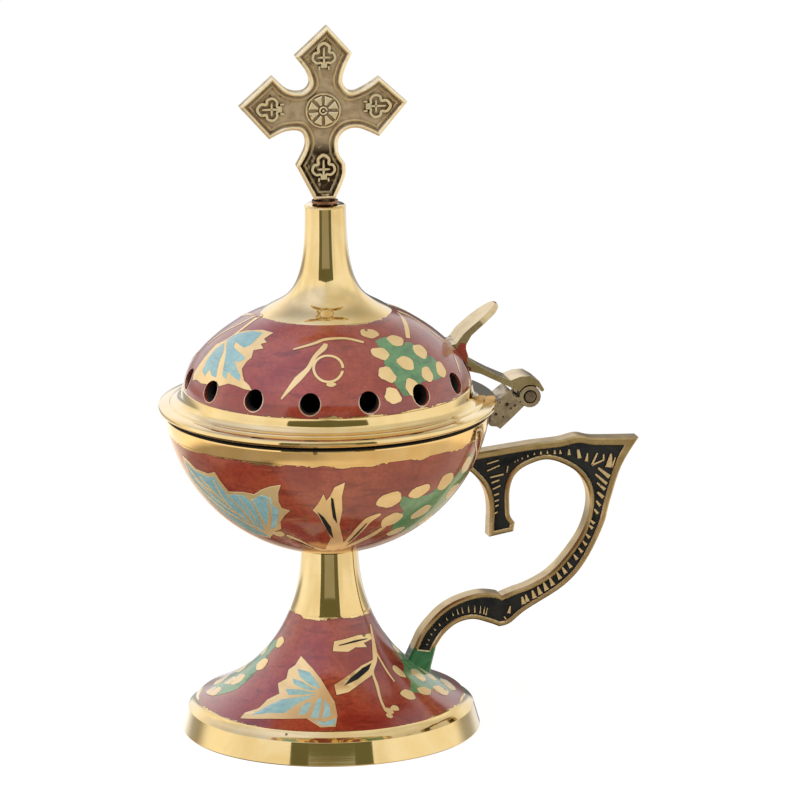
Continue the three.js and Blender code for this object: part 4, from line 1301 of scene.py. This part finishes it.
def makeRod(name, radius, height, length):
    bpy.ops.mesh.primitive_cylinder_add(vertices=32, radius=radius * mm, depth=length * mm,
                                        location=(axisX, 0, height * mm))
    applyPlace()
    rod = bpy.context.object
    rod.name = name
    return rod


def makeCross():
    # the edge, everything raised, and the sunk fields and grooves
    materials = (antiqueBrass, ridgeBrass, fieldBrass)
    bands = cross["bands"] + [0] + cross["bands"][::-1]
    body = loft("cross_cast", ringLoops(cross["outline"], bothFaces(cross["profile"])), bands, 2, materials)
    middle = cross["middle"]
    bossLoops = [[(x, y, lift) for x, y in disc(middle, 0, cross["boss"] - inset, 48)]
                 for inset, lift in bothFaces(cross["bossProfile"])]
    boss = loft("boss", bossLoops, [1] * (len(bossLoops) - 1), 2, materials)
    rosette = [turned(cross["petal"], (middle, 0), 360 * (k + 0.5) / cross["petals"])
               for k in range(cross["petals"])]
    radius, width = cross["ring"]
    rosette += [ringStroke(middle, 0, radius, radius, width, 20), disc(middle, 0, cross["eye"], 10)]
    clovers = [turned(stroke(line, widths), place, lean)
               for place, lean in cross["motifs"] for line, widths in cross["clover"]]
    reliefs = []
    for name, outlines in (("rosetteRelief", rosette), ("cloverRelief", clovers)):
        relief = flatPlates(name, outlines, *cross[name])
        paint(relief, ridgeBrass)
        reliefs.append(relief)
    reliefs += [backCopy(piece) for piece in reliefs]
    piece = joinPieces("cross_cast", [body, boss] + reliefs)
    standUp(piece, (0, cross["centre"]), cross["turn"])
    stud = makeRod("stud", cross["stud"], cross["centre"] + (cross["studLow"] + cross["studHigh"]) / 2,
                   cross["studHigh"] - cross["studLow"])
    paint(stud, antiqueBrass)
    piece = joinPieces("cross_cast", [piece, stud])
    faceOutwards(piece)
    smoothShade(piece, crossAngle)
    settleNormals(piece)
    finishPiece(piece, "lid", ["cross"])


lowerCurl = [(42.3, 22.3), (39.5, 23.5), (35.5, 24.7), (31.5, 23.9), (28.3, 21.5), (26.2, 18.5)]
handle = {
    "outer": [
        [(33.0, 66.45), (41.45, 67.3), (50.95, 68.2), (57.95, 68.6), (62.55, 69.4), (66.95, 68.5),
         (77.95, 67.9)],
        [(77.95, 67.9), (73.55, 61.0), (70.55, 52.1), (68.85, 46.1), (64.25, 37.3), (58.7, 31.5),
         (49.2, 26.1), (45, 23), (42.3, 22.3)],
        lowerCurl,
    ],
    # the channel's own edge on that side, lower under the top rail and farther in at the spur
    "channelOuter": [
        [(33.0, 66.0), (41.45, 66.8), (50.95, 67.7), (57.95, 68.0), (62.55, 68.75), (66.95, 67.9),
         (76.2, 67.2)],
        [(76.2, 67.2), (72.9, 61.0), (70.2, 52.1), (68.6, 46.1), (64.1, 37.3), (58.6, 31.5), (49.2, 26.1),
         (45, 23), (42.3, 22.3)],
        lowerCurl,
    ],
    "castEnd": [(26.2, 18.5), (24.9, 13.6), (24.5, 10.0), (18.3, 13.9), (20.8, 19)],
    "channelEnd": [(26.2, 18.5), (25.8, 17.7), (25.2, 16.2), (19.9, 17.1), (20.8, 19)],
    "inner": [
        [(20.8, 19), (22.4, 22.2), (24.8, 25.1), (27.9, 27.9), (32, 30), (37.5, 31.2), (41.9, 30.7),
         (42.9, 30.1)],
        [(42.9, 30.1), (46, 31.2), (50, 32.4), (55.2, 35.1), (59.55, 39.4), (63.55, 45.2), (65.35, 51.5),
         (64.65, 56.7), (61.35, 60.9), (55.25, 63.8), (49.95, 62.9), (46.55, 60.6), (45.15, 56.9),
         (45.05, 52), (45.25, 50.2), (46.35, 48.5)],
        [(46.35, 48.5), (46.0, 46.3)],
        [(46.0, 46.3), (39.8, 45.3)],
        [(39.8, 45.3), (39.9, 48.2), (40.05, 52.2), (39.55, 55.8), (38.05, 59.1), (34.6, 62.7), (32.0, 63.8)],
        [(32.0, 63.8), (33.0, 66.45)],
    ],
    "border": 0.9,
    "castProfile": [(1.25, 1.5), (1.22, 2.2), (0.95, 2.5), (0.45, 2.5), (0, 2.0)],
    "inlayProfile": [(1.27, 1.55), (1.27, 2.05), (1.5, 2.2)],
    # across the edge, from face to face: channel wall, bright rim, the round edge, and back again
    "bands": [1, 2, 0, 0, 0, 0, 0, 2, 1],
    "teeth": (2.0, 2.5, 0.12), "toothTip": 0.3, "toothWave": 0.14,
}


def handleSections(outer, end):
    return outer + [list(pair) for pair in zip(end, end[1:])] + handle["inner"]


# ridges cast in the channel: from, to, and the width at each end
channelRidges = [
    (60.1, 66.1, 60.1, 64.7, 0.4, 0.8), (62.4, 65.9, 62.8, 63.7, 0.6, 1.0),
    (64.8, 64.8, 64.5, 62.8, 0.3, 0.9), (67.3, 64.7, 65.9, 61.8, 0.4, 0.6),
    (69.1, 62.9, 65.9, 61.7, 0.35, 0.5), (68.9, 64.3, 68.9, 63.1, 0.3, 0.5),
    (70.8, 64.3, 70.2, 60.9, 0.4, 1.9), (71.9, 63.3, 71.0, 60.8, 0.3, 0.5),
    (67.5, 60.9, 70.4, 58.4, 0.45, 1.1), (66.8, 59.4, 69.7, 56.7, 0.4, 0.8),
    (67.2, 57.2, 69.2, 55.3, 0.35, 0.8), (67.3, 54.8, 68.8, 53.3, 0.5, 0.9),
    (67.0, 52.6, 68.0, 51.2, 0.4, 0.7), (66.5, 50.5, 67.4, 49.3, 0.4, 0.7),
    (45.0, 27.4, 44.6, 25.6, 0.3, 0.8), (43.4, 24.9, 43.9, 24.1, 0.2, 0.4),
    (39.3, 63.9, 42.3, 64.6, 0.3, 0.3), (39.3, 62.1, 42.5, 63.3, 0.3, 0.35),
    (40.1, 60.4, 43.5, 61.0, 0.35, 0.4), (40.4, 59.0, 42.4, 59.6, 0.35, 0.4),
    (40.7, 57.4, 42.7, 58.2, 0.35, 0.4), (41.0, 55.8, 42.3, 56.2, 0.4, 0.4),
    (41.2, 54.3, 42.3, 54.6, 0.35, 0.4), (41.3, 53.0, 42.2, 53.3, 0.35, 0.4),
    (41.1, 51.2, 41.9, 51.6, 0.4, 0.3), (44.3, 61.4, 44.6, 63.0, 0.3, 0.3),
]
# rows of teeth: places along the channel, their number, then length, width and lean at the start and the end
toothRows = [
    ([(46.4, 64.0), (48.2, 64.7), (51.3, 65.6), (54.6, 65.8), (57.9, 65.6)], 9,
     (0.3, 1.0), (0.35, 0.75), (90, 95)),
    ([(65.9, 47.4), (64.2, 42.5), (60.7, 37.5), (56.6, 33.7), (52, 30.6), (48.2, 28.6)], 15,
     (1.6, 2.1), (0.85, 1.25), (135, 104)),
    ([(39.0, 26.5), (37.4, 27.1), (34.4, 27.4), (31.6, 27.0)], 7, (1.7, 1.5), (0.3, 0.4), (75, 105)),
    ([(30.4, 26.4), (27, 24.0), (24.9, 21.7), (23.8, 19.2)], 7, (1.0, 0.5), (0.4, 0.4), (110, 140)),
]


def channelTeeth():
    outlines = [stroke([(x0, z0), (x1, z1)], widths) for x0, z0, x1, z1, *widths in channelRidges]
    for path, number, lengths, widths, leans in toothRows:
        line = smoothLine(path, 12)
        for k in range(number):
            share = k / (number - 1)
            x, y = line[round(share * (len(line) - 1))]
            length, width, lean = (a + (b - a) * share for a, b in (lengths, widths, leans))
            wave = 1 + handle["toothWave"] * math.sin(7.3 * k + x)
            dx, dy = (turn(math.radians(lean)) * length * wave / 2 for turn in (math.cos, math.sin))
            outlines.append(stroke([(x + dx, y + dy), (x - dx, y - dy)],
                                   [width * handle["toothTip"], width * wave]))
    return outlines


def makeHandle():
    channel = handleSections(handle["channelOuter"], handle["channelEnd"])
    loops = []
    for inset, lift in bothFaces(handle["castProfile"]):
        sections = channel if inset > handle["border"] else handleSections(handle["outer"], handle["castEnd"])
        loops += ringLoops(sections, [(inset, lift)])
    piece = loft("handle_cast", loops, handle["bands"], 1, (handleBrass, black, wornBrass))
    standUp(piece)
    faceOutwards(piece)
    smoothShade(piece, castAngle)
    settleNormals(piece)
    finishPiece(piece, "vessel", ["handle"])
    for side, node in (("front", "handle_inlay_front"), ("back", "handle_inlay_back")):
        inlay = loft(f"handle_black_{side}", ringLoops(channel, handle["inlayProfile"]), [0, 0], 0, [black])
        teeth = flatPlates(f"handle_teeth_{side}", channelTeeth(), *handle["teeth"])
        paint(teeth, wornBrass)
        for part in (inlay, teeth):
            if side == "back":
                flipOver(part)
            standUp(part)
            faceOutwards(part)
            smoothShade(part, castAngle)
        finishPiece(inlay, "vessel", [node])
        finishPiece(teeth, "vessel")


def castingFrom(node, name, bevel, cutter):
    # a copy of the frame's solid, cut where it has a cutter, with its edges rounded
    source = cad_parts[node]
    piece = source.copy()
    piece.data = source.data.copy()
    bpy.context.scene.collection.objects.link(piece)
    piece.parent = None
    piece.matrix_world = Matrix.Identity(4)
    pick(nameAs(piece, name))
    editAll(weld, lambda: bpy.ops.mesh.dissolve_limited(angle_limit=math.radians(1.0)), turnOut)
    if cutter:
        cutAway(piece, cutter)
    bevelEdges(piece, bevel)
    smoothShade(piece, castAngle)
    settleNormals(piece)
    return piece


bracketHalf = 4.1
# holes: across from the axis, height and radius
bracketHoles = [(44.0, 79.0, 0.5), (46.0, 78.6, 0.35), (45.0, 77.9, 0.3), (41.2, 76.7, 0.4),
                (43.0, 75.9, 0.25), (42.2, 79.6, 0.22), (47.4, 79.4, 0.25)]
thumb = {"tip": (42.6, 103.6), "lean": 43.0, "length": 7.5, "half": 4.15, "steps": 24, "spare": 0.1,
         "beyond": 2, "clear": 6, "lift": 2.6}


def castingPits():
    # small holes left in the bracket's two faces
    cutters = []
    for side in (-bracketHalf, bracketHalf):
        for across, height, size in bracketHoles:
            bpy.ops.mesh.primitive_ico_sphere_add(subdivisions=2, radius=size * mm,
                                                  location=(axisX + across * mm, side * mm, height * mm))
            cutters.append(bpy.context.object)
    cutter = joinPieces("pit_cutters", cutters)
    applyPlace()
    return cutter


def thumbRounding():
    # cuts the thumb lever's free end to a half oval: drawn along and across the lever, from its tip
    length, clear, beyond, lift = thumb["length"], thumb["clear"], thumb["beyond"], thumb["lift"]
    angles = [math.radians(90 - 180 * i / thumb["steps"]) for i in range(thumb["steps"] + 1)]
    reach = length + thumb["spare"]
    rounded = [(-length + reach * math.cos(t), thumb["half"] * math.sin(t)) for t in angles]
    outline = [(beyond, -clear), (beyond, clear), (-length, clear)] + rounded + [(-length, -clear)]
    cutter = flatPlates("thumb_cutter", [outline], -lift, lift, 0)
    a = math.radians(thumb["lean"])
    for vertex in cutter.data.vertices:
        along, across, lift = vertex.co
        vertex.co = (axisX + thumb["tip"][0] * mm + along * math.cos(a) - lift * math.sin(a), across,
                     thumb["tip"][1] * mm + along * math.sin(a) + lift * math.cos(a))
    return cutter


# node: name, body, slot, rounding of the edges, finish, what cuts it
castings = {
    "bowl_hinge_bracket": ("hinge_bracket_cast", "vessel", "aged_brass", 0.22, bracketBrass, castingPits),
    "hinge_pin": ("hinge_pin_turned", "vessel", "aged_brass", 0.2, pinBrass, None),
    "lid_hinge_strap": ("hinge_strap_cast", "lid", "aged_brass", 0.25, strapBrass, thumbRounding),
    "cross_collar": ("cross_collar_turned", "lid", "aged_brass", 0.12, collarBrass, None),
    "stem_bolt": ("stem_bolt_turned", "vessel", "steel", 0.15, steel, None),
    "bowl_washer": ("bowl_washer_cut", "vessel", "steel", 0.12, steel, None),
    "foot_washer": ("foot_washer_cut", "vessel", "steel", 0.12, steel, None),
    "stem_nut": ("stem_nut_cut", "vessel", "steel", 0.25, steel, None),
}

makeCross()
makeHandle()
for node, (name, body, slotName, bevel, material, makeCutter) in castings.items():
    piece = castingFrom(node, name, bevel, makeCutter() if makeCutter else None)
    paint(piece, material)
    finishPiece(piece, body, [node])
print("castings made")
